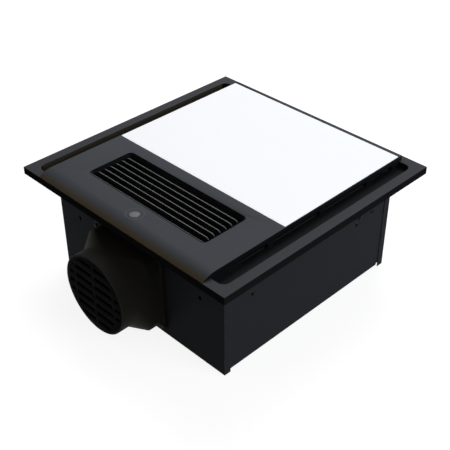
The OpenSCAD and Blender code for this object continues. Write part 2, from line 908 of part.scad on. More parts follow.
// Sheet metal back plate with both side walls folded up from it
module back_channel() {
  y_in = lip_in - 1.5;
  y_side = y_end - sheet - fit;
  x_in = x_side - sheet;
  color(sheet_black) {
    difference() {
      union() {
        block([-x_side + bend_r, -y_in, 0], [x_side - bend_r, y_in, sheet]);
        both_sides() difference() {
          rod_y(bend_r, -y_in, y_in, x_side - bend_r, bend_r);
          rod_y(bend_r - sheet, -y_end, y_end, x_side - bend_r, bend_r);
          block([0, -y_end, -eps], [x_side - bend_r, y_end, 2 * bend_r + eps]);
          block([0, -y_end, bend_r], [x_side + eps, y_end, 2 * bend_r + eps]);
        }
        both_sides() block([x_in, -y_in, bend_r], [x_side, y_in, z_seat]);
        both_sides() block([x_in, -y_side, bend_r + 1], [x_side, y_side, z_seat]);
        both_sides() block([x_floor, -y_floor, z_seat - sheet], [x_in, y_floor, z_seat]);
        for (s = [-1, 1]) {
          block([-x_side + bend_r + 3, min(s * y_in, s * (y_in - sheet)), 0],
            [x_side - bend_r - 3, max(s * y_in, s * (y_in - sheet)), joggle + sheet]);
          block([-x_side + bend_r + 3, min(s * y_in, s * y_side), joggle],
            [x_side - bend_r - 3, max(s * y_in, s * y_side), joggle + sheet]);
        }
      }
      both_sides() {
        rod_x(hole_r, x_in - eps, x_side + eps, y_end - hole_in, z_seat - hole_down);
        wall_slot(y_end - far_slot_in - far_slot_l, far_slot_l, far_slot_h, far_slot_down);
        wall_slot(near_slot_in - y_end, near_slot_l, near_slot_h, near_slot_down);
        wall_slot(clip_in - y_end, clip_l, clip_h, clip_down);
        rod_x(clip_hole_r, x_in - eps, x_side + eps, clip_in - y_end + clip_l / 2,
          z_seat - clip_down - clip_hole_drop);
        rod_x(side_screw_r + pilot_gap, x_in - eps, x_side + eps, y_end - side_screw_in,
          z_seat - side_screw_down);
      }
      rod_x(gland_thread_r + gland_fit, -x_side - eps, -x_in + eps, gland_y, gland_z);
    }
  }
}

// Slot through the side wall, its upper edge down from the fascia
module wall_slot(y0, l, h, down) {
  block([x_side - sheet - eps, y0, z_seat - down - h], [x_side + eps, y0 + l, z_seat - down]);
}

// Folded end wall: plate, side edges, inward rim and the lip under the back plate
module end_pan() {
  y_out_face = -y_end;
  y_in_face = -y_end + sheet;
  block([-x_wrap, y_out_face, 0], [x_wrap, y_in_face, z_seat]);
  both_sides() block([x_side + wrap_gap, y_out_face, 0], [x_wrap, y_out_face + wrap_w, z_seat]);
  block([-x_side + bend_r + 1, y_out_face, 0], [x_side - bend_r - 1, -lip_in, sheet]);
  difference() {
    block([-x_side + bend_r + 1, y_out_face, z_seat - sheet], [x_side - bend_r - 1, -y_floor - eps, z_seat]);
    for (x = [-fix_x, fix_x])
      rod_z(fix_pilot_r, z_seat - sheet - eps, z_seat + eps, x, -fix_y);
  }
}

// End wall that carries the duct adapter
module end_wall_duct() {
  color(sheet_black) {
    difference() {
      end_pan();
      rod_y(port_r, -y_end - eps, -y_end + sheet + eps, duct_x, duct_z);
      for (x = [-x_side + fixing_in, x_side - fixing_in])
        rod_y(fixing_r, -y_end - eps, -y_end + sheet + eps, x, fixing_z);
      for (x = [-screw_dx, screw_dx], z = [-screw_dz, screw_dz])
        rod_y(adapter_screw_r + pilot_gap, -y_end - eps, -y_end + sheet + eps, duct_x + x, duct_z + z);
    }
  }
}

// Plain end wall opposite the duct
module end_wall_far() {
  color(sheet_black) {
    mirror([0, 1, 0]) end_pan();
  }
}

// Pan head screw on each side wall
module side_screws() {
  color(zinc) {
    both_sides() {
      rod_x(side_screw_r, x_side - side_screw_l, x_side, y_end - side_screw_in, z_seat - side_screw_down);
      rod_x(side_head_r, x_side, x_side + side_head_h, y_end - side_screw_in, z_seat - side_screw_down);
    }
  }
}

// Solid slice of the adapter's square base
module lobe_slice(w, h, r, y0, y1) {
  rounded_y([duct_x - w / 2, y0, duct_z - h / 2], [duct_x + w / 2, y1, duct_z + h / 2], r);
}

// Moulded adapter from the square base to the round spigot
module duct_adapter() {
  slice = 0.4;
  w_in = lobe_w - 2 * duct_wall;
  h_in = lobe_h - 2 * duct_wall;
  r_in = lobe_r - duct_wall;
  color(black) {
    difference() {
      union() {
        lobe_slice(flange_w, lobe_h, flange_r, y_flange, -y_end);
        lobe_slice(lobe_w, lobe_h, lobe_r, y_lobe, y_flange);
        hull() {
          lobe_slice(lobe_w, lobe_h, lobe_r, y_lobe, y_lobe + slice, $fn = 32);
          rod_y(duct_r, y_spigot, y_spigot + slice, duct_x, duct_z, $fn = 64);
        }
        rod_y(duct_r, y_mouth, y_spigot + slice, duct_x, duct_z);
      }
      rod_y(port_r, -y_end - flange_t, -y_end + eps, duct_x, duct_z);
      lobe_slice(w_in, h_in, r_in, y_lobe - slice, -y_end - seat_t);
      hull() {
        lobe_slice(w_in, h_in, r_in, y_lobe - slice, y_lobe, $fn = 32);
        rod_y(duct_in, y_spigot - slice, y_spigot, duct_x, duct_z, $fn = 64);
      }
      rod_y(duct_in, y_mouth - eps, y_spigot, duct_x, duct_z);
      rod_z(flap_pin_r, duct_z - h_in / 2 - 1, duct_z + h_in / 2 + 1, duct_x, y_flap_pin);
      for (x = [-screw_dx, screw_dx], z = [-screw_dz, screw_dz])
        rod_y(adapter_hole_r, y_flange - eps, -y_end + eps, duct_x + x, duct_z + z);
    }
  }
}

// Slotted disc across the duct's mouth
module duct_guard() {
  ring_in = duct_in - guard_ring;
  rib_half = guard_rib / 2;
  columns = [[-ring_in, -guard_col - rib_half], [-guard_col + rib_half, -rib_half],
    [rib_half, guard_col - rib_half], [guard_col + rib_half, ring_in]];
  slot = (guard_pitch - guard_bar) / 2;
  color(black) {
    difference() {
      rod_y(duct_in, y_mouth, y_mouth + guard_t, duct_x, duct_z);
      intersection() {
        rod_y(ring_in, y_mouth - eps, y_mouth + guard_t + eps, duct_x, duct_z);
        for (row = [-guard_rows : guard_rows], c = columns)
          block([duct_x + c[0], y_mouth - eps, duct_z + row * guard_pitch - slot],
            [duct_x + c[1], y_mouth + guard_t + eps, duct_z + row * guard_pitch + slot]);
      }
    }
  }
}

// Upright pin that both backdraught flaps turn on
module flap_pin() {
  half = lobe_h / 2 - duct_wall + flap_pin_in;
  color(steel) {
    rod_z(flap_pin_r - 0.01, duct_z - half, duct_z + half, duct_x, y_flap_pin);
  }
}

// Half round backdraught flap on the +X side, its knuckles starting at the given height
module flap(z_first) {
  y_plate = y_flap_pin + knuckle_r - flap_t;
  difference() {
    intersection() {
      rod_y(flap_r, y_plate, y_plate + flap_t, duct_x, duct_z);
      block([duct_x + flap_half_gap, y_plate - eps, duct_z - flap_r],
        [duct_x + flap_r, y_plate + flap_t + eps, duct_z + flap_r]);
    }
    for (k = [0 : 2])
      block([duct_x, y_plate - eps, duct_z + z_first + (2 * k - 1) * knuckle_l - gap],
        [duct_x + knuckle_leaf, y_plate + flap_t + eps, duct_z + z_first + 2 * k * knuckle_l + gap]);
  }
  for (k = [0 : 1]) {
    z0 = duct_z + z_first + 2 * k * knuckle_l + gap / 2;
    difference() {
      union() {
        rod_z(knuckle_r, z0, z0 + knuckle_l - gap, duct_x, y_flap_pin);
        block([duct_x, y_plate, z0], [duct_x + knuckle_leaf + eps, y_plate + flap_t, z0 + knuckle_l - gap]);
      }
      rod_z(flap_pin_r + run, z0 - eps, z0 + knuckle_l + eps, duct_x, y_flap_pin);
    }
  }
}

module flap_right() {
  color(zinc) flap(-2 * knuckle_l);
}

module flap_left() {
  color(zinc) translate([2 * duct_x, 0, 0]) mirror([1, 0, 0]) flap(-knuckle_l);
}

// Screws that hold the adapter to the end wall
module adapter_screws() {
  color(zinc) {
    for (x = [-screw_dx, screw_dx], z = [-screw_dz, screw_dz]) {
      rod_y(adapter_screw_r, y_flange, -y_end + 2 * sheet, duct_x + x, duct_z + z);
      rod_y(adapter_head_r, y_flange - adapter_head_h, y_flange, duct_x + x, duct_z + z);
    }
  }
}

// Moulded chamber that leads the air to the duct or up to the heater
module outlet_chamber() {
  out_x = chamber_out;
  cup_r = damper_motor_r + fit;
  color(black) {
    difference() {
      union() {
        block([-out_x, chamber_y0 - wall, chamber_z0], [out_x, chamber_y1 + wall, chamber_top]);
        for (x = [-foot_x, foot_x], y = [foot_y0, foot_y1])
          rod_z(foot_r, sheet, chamber_z0 + wall, x, y);
        rod_y(port_r + port_rim, -y_end + sheet, rim_y, duct_x, duct_z);
        both_sides() rod_x(sleeve_r + gap, out_x, out_x + boss_reach, hinge_y, hinge_z);
        rod_x(cup_r + cup_wall, out_x, out_x + cup_l, damper_motor_y, damper_motor_z);
      }
      difference() {
        block([-chamber_x, chamber_y0, chamber_z0 + wall], [chamber_x, chamber_y1, chamber_top + eps]);
        rod_y(port_r + port_rim, -y_end, rim_y, duct_x, duct_z);
      }
      rod_y(port_r, -y_end, rim_y + eps, duct_x, duct_z);
      block([scroll_x0, chamber_y1 - eps, scroll_z + wall], [tongue_x, chamber_y1 + wall + eps, scroll_top]);
      rod_x(shaft_r + run, -out_x - 2 * boss_reach, out_x + 2 * boss_reach, hinge_y, hinge_z);
      rod_x(sleeve_r + gap, -chamber_x, chamber_x, hinge_y, hinge_z);
      rod_x(cup_r, out_x + cup_floor, out_x + cup_l + eps, damper_motor_y, damper_motor_z);
    }
  }
}

// Lid of the air chamber with the throat up to the heater
module chamber_lid() {
  out_x = chamber_out;
  color(black) {
    difference() {
      union() {
        block([-out_x, chamber_y0 - wall, chamber_top], [out_x, chamber_y1 + wall, lid_top]);
        block([-throat_x - wall, throat_y0 - wall, chamber_top - ledge_drop],
          [throat_x + wall, throat_y1 + wall, chamber_top]);
      }
      block([-throat_x, throat_y0, chamber_top - ledge_drop - eps], [throat_x, throat_y1, lid_top + eps]);
    }
  }
}

// Swinging plate that sends the air up to the room or out to the duct
module damper_plate() {
  x_plate = chamber_x - plate_gap;
  rib_step = chamber_w / 4;
  color(zinc) {
    difference() {
      union() {
        block([-x_plate, hinge_y - plate_t / 2, plate_base], [x_plate, hinge_y + plate_t / 2, hinge_z]);
        rod_x(sleeve_r, -x_plate, x_plate, hinge_y, hinge_z);
      }
      rod_x(shaft_r + press, -x_plate - eps, x_plate + eps, hinge_y, hinge_z);
    }
    for (i = [-1.5 : 1 : 1.5])
      block([i * rib_step - damper_rib_t / 2, hinge_y + plate_t / 2,
        hinge_z - throat_y1 + hinge_y + damper_rib_gap],
        [i * rib_step + damper_rib_t / 2, hinge_y + plate_t / 2 + damper_rib_h,
        hinge_z - throat_y0 + hinge_y - damper_rib_gap]);
  }
}

// Foam ring on the plate that closes the duct port
module damper_seal() {
  color(rubber) {
    difference() {
      rod_y(port_r + seal_lap, hinge_y - plate_t / 2 - seal_t, hinge_y - plate_t / 2, duct_x, duct_z);
      rod_y(port_r - seal_in, hinge_y - plate_t / 2 - 2 * seal_t, hinge_y, duct_x, duct_z);
      block([duct_x - duct_r, hinge_y - hinge_in, hinge_z - sleeve_r - gap],
        [duct_x + duct_r, hinge_y, chamber_top]);
      block([duct_x - duct_r, hinge_y - hinge_in, 0], [duct_x + duct_r, hinge_y, plate_base + fit]);
    }
  }
}

// Shaft of the damper plate
module damper_shaft() {
  color(steel) {
    rod_x(shaft_r, -chamber_out - boss_reach - eps, chamber_out + damper_motor_gap + damper_shaft_in - 2 * gap,
      hinge_y, hinge_z);
  }
}

// Small geared motor that turns the damper
module damper_motor() {
  x0 = chamber_out + damper_motor_gap;
  color(steel) {
    difference() {
      rod_x(damper_motor_r, x0, x0 + damper_motor_l, damper_motor_y, damper_motor_z);
      rod_x(shaft_r + run, x0 - eps, x0 + damper_shaft_in, hinge_y, hinge_z);
    }
  }
}

// Frame around the heating elements
module heater_frame() {
  color(zinc) {
    difference() {
      block([-heater_x, heater_y0, z_heater], [heater_x, heater_y1, z_heater1]);
      block([-heater_x + heater_wall, heater_y0 + heater_wall, z_heater - eps],
        [heater_x - heater_wall, heater_y1 - heater_wall, z_heater1 + eps]);
    }
  }
}

// Ceramic heating bars, end to end in the frame
module heater_bars() {
  x_bar = heater_x - heater_wall;
  color(ceramic) {
    for (i = [0 : bar_n - 1])
      block([-x_bar, heater_y0 + heater_wall + i * bar_pitch, z_heater + bar_in],
        [x_bar, heater_y0 + heater_wall + i * bar_pitch + bar_t, z_heater1 - bar_in]);
  }
}

// Profile of a corrugated strip: n webs a step apart, joined at alternate ends
module fin_profile(n, step, h) {
  difference() {
    square([n * step + fin_t, h]);
    for (i = [0 : n - 1])
      translate([i * step + fin_t, i % 2 == 0 ? -eps : fin_t]) square([step - fin_t, h - fin_t + eps]);
  }
}

// Corrugated aluminium fins between the bars
module heater_fins() {
  step = fin_pitch / 2;
  webs = floor(2 * (heater_x - heater_wall - fin_t) / step);
  color(steel) {
    for (i = [0 : bar_n - 2])
      translate([-(webs * step + fin_t) / 2, heater_y0 + heater_wall + i * bar_pitch + bar_t, 0])
        translate([0, 0, z_heater + fin_in])
          linear_extrude(heater_h - 2 * fin_in) fin_profile(webs, step, bar_pitch - bar_t);
  }
}

// Two round thermal cut-outs on the chamber's lid
module thermal_cutouts() {
  y = (y_out1 + bezel_t + chamber_y1 + wall) / 2;
  color(black) {
    for (x = [-cutout_x, cutout_x]) {
      rod_z(cutout_r, lid_top, lid_top + cutout_h, x, y);
      rod_z(cutout_cap_r, lid_top + cutout_h, lid_top + cutout_h + cutout_cap_h, x, y);
      for (y0 = [-tab_in - tab_t, tab_in])
        block([x - tab_w / 2, y + y0, lid_top + cutout_h - eps],
          [x + tab_w / 2, y + y0 + tab_t, lid_top + cutout_h + tab_h]);
    }
  }
}

// Plate in the plan of the scroll, grown by extra
module scroll_plate(z0, z1, extra) {
  translate([0, 0, z0]) linear_extrude(z1 - z0)
    polygon(concat([[blower_x, blower_y]], [for (i = [0 : scroll_steps]) scroll_point(i, extra)]));
  rod_z(scroll_r0 + extra, z0, z1, blower_x, blower_y);
  block([scroll_x0 - extra, scroll_port_y, z0], [tongue_x + extra, blower_y, z1]);
}

// The children at each screw of the motor's mounting ring
module around_motor() {
  for (a = motor_fix_a)
    translate([blower_x + motor_fix_r * cos(a), blower_y + motor_fix_r * sin(a), 0]) children();
}

// Scroll housing: floor and spiral wall
module scroll_base() {
  z0 = scroll_z + wall;
  color(black) {
    difference() {
      scroll_plate(scroll_z, z0, wall);
      rod_z(motor_r + motor_hole_gap, scroll_z - eps, z0 + eps, blower_x, blower_y);
      around_motor() rod_z(motor_hole_r, scroll_z - eps, z0 + eps, 0, 0);
    }
    translate([0, 0, z0]) linear_extrude(scroll_h)
      polygon(concat([for (i = [0 : scroll_steps]) scroll_point(i, 0)],
        [for (i = [scroll_steps : -1 : 0]) scroll_point(i, wall)]));
    block([scroll_x0 - wall, scroll_port_y, z0], [scroll_x0, blower_y, scroll_top]);
    block([tongue_x, scroll_port_y, z0], [tongue_x + wall, blower_y - scroll_r0 * tongue_share, scroll_top]);
  }
}

// Cover of the scroll with its rounded inlet
module scroll_cover() {
  color(black) {
    difference() {
      scroll_plate(scroll_top, scroll_top + wall, wall);
      rod_z(inlet_r + inlet_wall - eps, scroll_top - eps, scroll_top + wall + eps, blower_x, blower_y);
    }
    translate([blower_x, blower_y, 0]) rotate_extrude()
      translate([inlet_r, scroll_top - inlet_in]) square([inlet_wall, inlet_h]);
  }
}

// Rubber feet between the scroll and the back plate
module scroll_feet() {
  color(rubber) {
    for (a = [45 : 90 : 315])
      rod_z(scroll_foot_r, sheet, scroll_z, blower_x + (scroll_r0 - scroll_foot_in) * cos(a),
        blower_y + (scroll_r0 - scroll_foot_in) * sin(a));
  }
}

// Fan motor with its mounting ring
module fan_motor() {
  color(zinc) {
    difference() {
      union() {
        rod_z(motor_r, motor_z0, motor_top - motor_shoulder, blower_x, blower_y);
        rod_z(motor_r - motor_bush, motor_z0, motor_top, blower_x, blower_y);
        rod_z(motor_r + flange_ring_w, z_grommet + grommet_h, z_grommet + grommet_h + flange_ring_t,
          blower_x, blower_y);
      }
      rod_z(motor_shaft_r + run, motor_top - shaft_in - eps, motor_top + eps, blower_x, blower_y);
      around_motor() rod_z(motor_hole_r, z_grommet, z_impeller, 0, 0);
    }
  }
}

// Rubber rings under the motor's mounting ring
module motor_grommets() {
  color(rubber) {
    around_motor() difference() {
      rod_z(grommet_r, z_grommet, z_grommet + grommet_h, 0, 0);
      rod_z(motor_hole_r, z_grommet - eps, z_grommet + grommet_h + eps, 0, 0);
    }
  }
}

// Screws through the motor's mounting ring
module motor_screws() {
  z_head = z_grommet + grommet_h + flange_ring_t;
  color(zinc) {
    around_motor() {
      rod_z(motor_screw_r, scroll_z - motor_screw_l, z_head, 0, 0);
      rod_z(motor_head_r, z_head, z_head + motor_head_h, 0, 0);
    }
  }
}

// Motor shaft that the impeller sits on
module motor_shaft() {
  color(steel) {
    rod_z(motor_shaft_r, motor_top - shaft_in, boss_top + shaft_over, blower_x, blower_y);
  }
}

// Impeller with forward curved blades around an open eye
module impeller() {
  color(black) {
    difference() {
      union() {
        rod_z(impeller_r, z_impeller, z_impeller + wall, blower_x, blower_y);
        rod_z(hub_r + wall, z_impeller, hub_top, blower_x, blower_y);
        rod_z(motor_shaft_r + boss_wall, hub_top - wall, boss_top, blower_x, blower_y);
      }
      rod_z(hub_r, z_impeller - eps, hub_top - wall, blower_x, blower_y);
      rod_z(motor_shaft_r + press, z_impeller, boss_top + eps, blower_x, blower_y);
    }
    translate([blower_x, blower_y, z_impeller + wall / 2]) for (i = [0 : blade_n - 1])
      rotate(i * 360 / blade_n) translate([blade_in + eps, 0, 0]) rotate(blade_tilt)
        translate([0, -blade_t / 2, 0])
          cube([blade_l - blade_tip, blade_t, impeller_top - z_impeller - wall / 2 - ring_h / 2]);
    translate([blower_x, blower_y, impeller_top - ring_h]) difference() {
      cylinder(r = impeller_r, h = ring_h);
      translate([0, 0, -eps]) cylinder(r = impeller_r - ring_w, h = ring_h + 2 * eps);
    }
  }
}

// Hexagonal nut on the end of the motor's shaft
module impeller_nut() {
  color(steel) {
    difference() {
      translate([blower_x, blower_y, boss_top]) cylinder(r = motor_shaft_r + nut_wall, h = nut_h, $fn = 6);
      rod_z(motor_shaft_r + press, boss_top - eps, boss_top + nut_h + eps, blower_x, blower_y);
    }
  }
}

// Moulded tray for the control board
module control_box() {
  color(black) {
    difference() {
      block([control_x, control_y, sheet], [control_x + control_w, control_y + control_l, sheet + control_h]);
      block([control_x + wall, control_y + wall, sheet + wall],
        [control_x + control_w - wall, control_y + control_l - wall, sheet + control_h + eps]);
      block([control_x - eps, control_y + wire_gap_in, sheet + control_h - wire_gap_h],
        [control_x + wall + eps, control_y + wire_gap_in + wire_gap_w, sheet + control_h + eps]);
    }
    for (x = [post_x, control_w - post_x], y = [post_y, control_l - post_y])
      rod_z(post_r, sheet + wall, sheet + wall + post_h, control_x + x, control_y + y);
  }
}

// Lid of the control box
module control_cover() {
  color(sheet_black) {
    block([control_x, control_y, sheet + control_h],
      [control_x + control_w, control_y + control_l, sheet + control_h + cover_t]);
  }
}

// Control board on its four posts
module control_board() {
  z0 = sheet + wall + post_h;
  edge = wall + pcb_in;
  color(board_green) {
    block([control_x + edge, control_y + edge, z0],
      [control_x + control_w - edge, control_y + control_l - edge, z0 + pcb_t]);
  }
}

// Relays, transformer and connectors on the control board
module control_parts() {
  z0 = sheet + wall + post_h + pcb_t;
  x0 = control_x + wall + post_x - pcb_in;
  y0 = control_y + relay_in;
  y1 = control_y + control_l - transformer_in;
  color(relay_blue) {
    for (i = [0 : relay_n - 1])
      block([x0, y0 + relay_pitch * i, z0], [x0 + relay_w, y0 + relay_pitch * i + relay_l, z0 + relay_h]);
    block([x0, y1 - transformer_l, z0], [x0 + transformer_w, y1, z0 + transformer_h]);
    block([x0 + plug_x, y0, z0], [x0 + plug_x + plug_w, y0 + plug_l, z0 + plug_h]);
  }
}

// Closed driver for the light
module light_driver() {
  color(white) {
    difference() {
      union() {
        block([driver_x, driver_y, sheet], [driver_x + driver_w, driver_y + driver_l, sheet + driver_h]);
        block([driver_x + driver_tab_in, driver_y - driver_tab, sheet],
          [driver_x + driver_w - driver_tab_in, driver_y + driver_l + driver_tab, sheet + driver_tab_t]);
      }
      for (y = [driver_y - driver_tab / 2, driver_y + driver_l + driver_tab / 2])
        rod_z(driver_hole_r, sheet - eps, sheet + driver_tab_t + eps, driver_x + driver_w / 2, y);
    }
  }
}

// Run capacitor of the fan motor
module run_capacitor() {
  color(white) {
    translate([driver_x + terminal_in, driver_y - capacitor_gap - capacitor_l, sheet])
      cube([capacitor_w, capacitor_l, capacitor_h]);
  }
}

// Screw terminals for the supply
module terminal_block() {
  x0 = driver_x + terminal_in;
  y0 = terminal_y + (terminal_l - (terminal_n - 1) * terminal_pitch) / 2;
  color(white) {
    difference() {
      block([x0, terminal_y, sheet], [x0 + terminal_w, terminal_y + terminal_l, sheet + terminal_h]);
      for (i = [0 : terminal_n - 1], x = [terminal_w / 4, terminal_w * 3 / 4])
        rod_z(terminal_hole_r, sheet + terminal_h / 2, sheet + terminal_h + eps, x0 + x,
          y0 + terminal_pitch * i);
    }
  }
}

// Cable gland through the side wall, open along its bore
module cable_gland() {
  color(black) {
    difference() {
      union() {
        rod_x(gland_thread_r, -x_side - gland_seat, -x_side + gland_in_l, gland_y, gland_z);
        translate([-x_side - gland_hex_t, gland_y, gland_z]) rotate([0, 90, 0])
          cylinder(r = gland_bore + gland_hex_wall, h = gland_hex_t, $fn = 6);
        rod_x(gland_bore + gland_cap_wall, -x_side - gland_out_l, -x_side - gland_seat, gland_y, gland_z);
        translate([-x_side + sheet, gland_y, gland_z]) rotate([0, 90, 0])
          cylinder(r = gland_bore + gland_nut_wall, h = gland_hex_t, $fn = 6);
      }
      rod_x(gland_bore, -x_side - gland_out_l - eps, -x_side + gland_in_l + eps, gland_y, gland_z);
    }
  }
}

fascia_frame();
centre_panel();
receiver_window();
receiver_board();
light_diffuser();
light_tray();
led_board();
led_chips();
outlet_bezel();
vane_1();
vane_2();
vane_3();
vane_4();
vane_5();
vane_6();
vane_link();
vane_motor();
vane_motor_shaft();
vane_motor_bracket();
fascia_screws();
back_channel();
end_wall_duct();
end_wall_far();
side_screws();
duct_adapter();
duct_guard();
flap_pin();
flap_left();
flap_right();
adapter_screws();
outlet_chamber();
chamber_lid();
damper_plate();
damper_seal();
damper_shaft();
damper_motor();
heater_frame();
heater_bars();
heater_fins();
thermal_cutouts();
scroll_base();
scroll_cover();
scroll_feet();
fan_motor();
motor_grommets();
motor_screws();
motor_shaft();
impeller();
impeller_nut();
control_box();
control_cover();
control_board();
control_parts();
light_driver();
run_capacitor();
terminal_block();
cable_gland();
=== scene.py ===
"""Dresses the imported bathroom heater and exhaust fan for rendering, in metres, in the CAD frame."""
import json
import logging
import math
from collections.abc import Callable
from dataclasses import dataclass, field
from enum import Enum
from functools import cache

import bmesh
import bpy
from mathutils import Matrix, Vector
from mathutils.geometry import delaunay_2d_cdt


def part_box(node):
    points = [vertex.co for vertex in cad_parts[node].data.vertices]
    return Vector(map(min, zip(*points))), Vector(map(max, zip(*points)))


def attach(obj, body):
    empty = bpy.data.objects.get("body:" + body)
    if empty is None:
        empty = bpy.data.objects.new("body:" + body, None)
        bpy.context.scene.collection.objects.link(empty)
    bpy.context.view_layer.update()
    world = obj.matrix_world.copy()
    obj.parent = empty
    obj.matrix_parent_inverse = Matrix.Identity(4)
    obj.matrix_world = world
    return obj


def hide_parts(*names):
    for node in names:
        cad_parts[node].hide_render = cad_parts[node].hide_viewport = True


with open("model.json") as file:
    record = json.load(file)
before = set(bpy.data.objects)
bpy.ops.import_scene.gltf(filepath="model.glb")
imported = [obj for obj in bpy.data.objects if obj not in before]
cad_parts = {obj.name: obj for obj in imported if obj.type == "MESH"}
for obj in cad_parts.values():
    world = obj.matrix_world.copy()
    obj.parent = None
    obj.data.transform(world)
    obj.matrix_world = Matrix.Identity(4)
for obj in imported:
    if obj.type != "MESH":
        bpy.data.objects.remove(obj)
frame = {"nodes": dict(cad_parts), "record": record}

LOG = logging.getLogger("heater_fan")
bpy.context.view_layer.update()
SLOTS = {part["node"]: part["material_slot"] for part in frame["record"]["subparts"]}

HOUSING = "housing"
FLAT_LAYER = "flat"
FLAT_ANGLE = 0.002  # radians
SHARP_ANGLE = math.radians(30)
CREASE_ANGLE = math.radians(50)
WELD = 1e-6  # metres
SNAP = 1e-8
INNER_TRIANGLES = 1  # what delaunay_2d_cdt gives: the triangles inside the outer rim

# Limits for one axis of a face's normal.
UPWARDS, LEVEL, SIDEWAYS, FORWARDS = 0.5, 0.95, 0.92, -0.1

NUMBER, COLOUR, VECTOR = "NodeSocketFloat", "NodeSocketColor", "NodeSocketVector"
GREY = (0.5, 0.5, 0.5, 1.0)
WHITE = (1.0, 1.0, 1.0, 1.0)

Colour = tuple[float, float, float, float]
Point = tuple[float, float, float]
Feed = float | tuple[float, ...] | bpy.types.NodeSocket
Sockets = bpy.types.bpy_prop_collection
EdgeRule = Callable[[bmesh.types.BMEdge], bool]
FaceRule = Callable[[Vector, Vector], bool]


class Gloss(Enum):
    """Roughness of a moulded surface; the smaller, the sharper it shines."""

    POLISHED = 0.12
    SATIN = 0.42
    MATT = 0.6


def linear(red: int, green: int, blue: int) -> Colour:
    """Turns a colour as seen on screen into the linear values that shaders take.

    Args:
        red: Red from 0 to 255.
        green: Green from 0 to 255.
        blue: Blue from 0 to 255.

    Returns:
        Linear red, green, blue and an alpha of 1.
    """
    values = []
    for part in (red, green, blue):
        level = part / 255
        values.append(level / 12.92 if level <= 0.04045 else ((level + 0.055) / 1.055) ** 2.4)
    return values[0], values[1], values[2], 1.0


def neighbours(ring: list) -> list[tuple]:
    """Pairs each item of a closed ring with the next one."""
    return list(zip(ring, ring[1:] + ring[:1]))


# ---------------------------------------------------------------- node groups


class Graph:
    """Node tree of a material, a group or the world, under construction."""

    def __init__(self, tree: bpy.types.NodeTree) -> None:
        """Takes the tree and its shader, which only a material's tree has."""
        self.tree = tree
        self.shader = tree.nodes.get("Principled BSDF")

    def feed(self, node: bpy.types.Node, inputs: dict[str | int, Feed]) -> bpy.types.Node:
        """Feeds inputs of a node, each with a plain value or from a socket.

        Args:
            node: The node.
            inputs: Value or socket for each input.

        Returns:
            The node.
        """
        for label, value in inputs.items():
            if isinstance(value, bpy.types.NodeSocket):
                self.tree.links.new(value, node.inputs[label])
            else:
                node.inputs[label].default_value = value
        return node

    def add(self, kind: str, inputs: dict[str | int, Feed], operation: str = "") -> bpy.types.Node:
        """Adds a node.

        Args:
            kind: Its type, less the leading "ShaderNode".
            inputs: Value or socket for each input.
            operation: What it does, where its type has operations.

        Returns:
            The node.
        """
        node = self.tree.nodes.new(f"ShaderNode{kind}")
        if operation:
            node.operation = operation
        return self.feed(node, inputs)

    def math(self, operation: str, *values: Feed) -> bpy.types.NodeSocket:
        """Adds a math node over values or sockets and returns its result."""
        return self.add("Math", dict(enumerate(values)), operation).outputs[0]

    def coords(self) -> bpy.types.NodeSocket:
        """Adds and returns the coordinates of the object."""
        return self.add("TexCoord", {}).outputs["Object"]

    def noise(self, coords: Feed, scale: Feed, detail: float = 3.0) -> bpy.types.NodeSocket:
        """Adds a noise texture, detail being its octaves, and returns its height."""
        node = self.add("TexNoise", {"Vector": coords, "Scale": scale, "Detail": detail})
        return node.outputs["Fac"]

    def blend(self, first: Feed, second: Feed, share: Feed) -> bpy.types.NodeSocket:
        """Blends two colours.

        Args:
            first: First colour.
            second: Second colour.
            share: Share of the second colour.

        Returns:
            The socket with the blended colour.
        """
        node = self.add("Mix", {})
        node.data_type = "RGBA"
        return self.feed(node, {"Factor": share, "A": first, "B": second}).outputs["Result"]

    def ramp(self, value: Feed, low: Feed, high: Feed,
             kind: str = "LINEAR") -> bpy.types.NodeSocket:
        """Adds a ramp from 0 to 1.

        Args:
            value: What it follows.
            low: Value at which it gives 0.
            high: Value at which it gives 1.
            kind: Its interpolation.

        Returns:
            The socket with the result.
        """
        node = self.add("MapRange", {"Value": value, "From Min": low, "From Max": high})
        node.interpolation_type = kind
        return node.outputs["Result"]

    def group(self, tree: bpy.types.NodeTree, inputs: dict[str, Feed]) -> Sockets:
        """Places a shared group with its own values.

        Args:
            tree: The shared group.
            inputs: Value or socket for each of its inputs.

        Returns:
            Its output sockets by name.
        """
        node = self.add("Group", {})
        node.node_tree = tree
        return self.feed(node, inputs).outputs

    def bump(self, height: Feed, strength: float, depth: float) -> None:
        """Feeds a height through a Bump node to the shader's normal, depth being in metres."""
        node = self.add("Bump", {"Strength": strength, "Distance": depth, "Height": height})
        self.feed(self.shader, {"Normal": node.outputs["Normal"]})


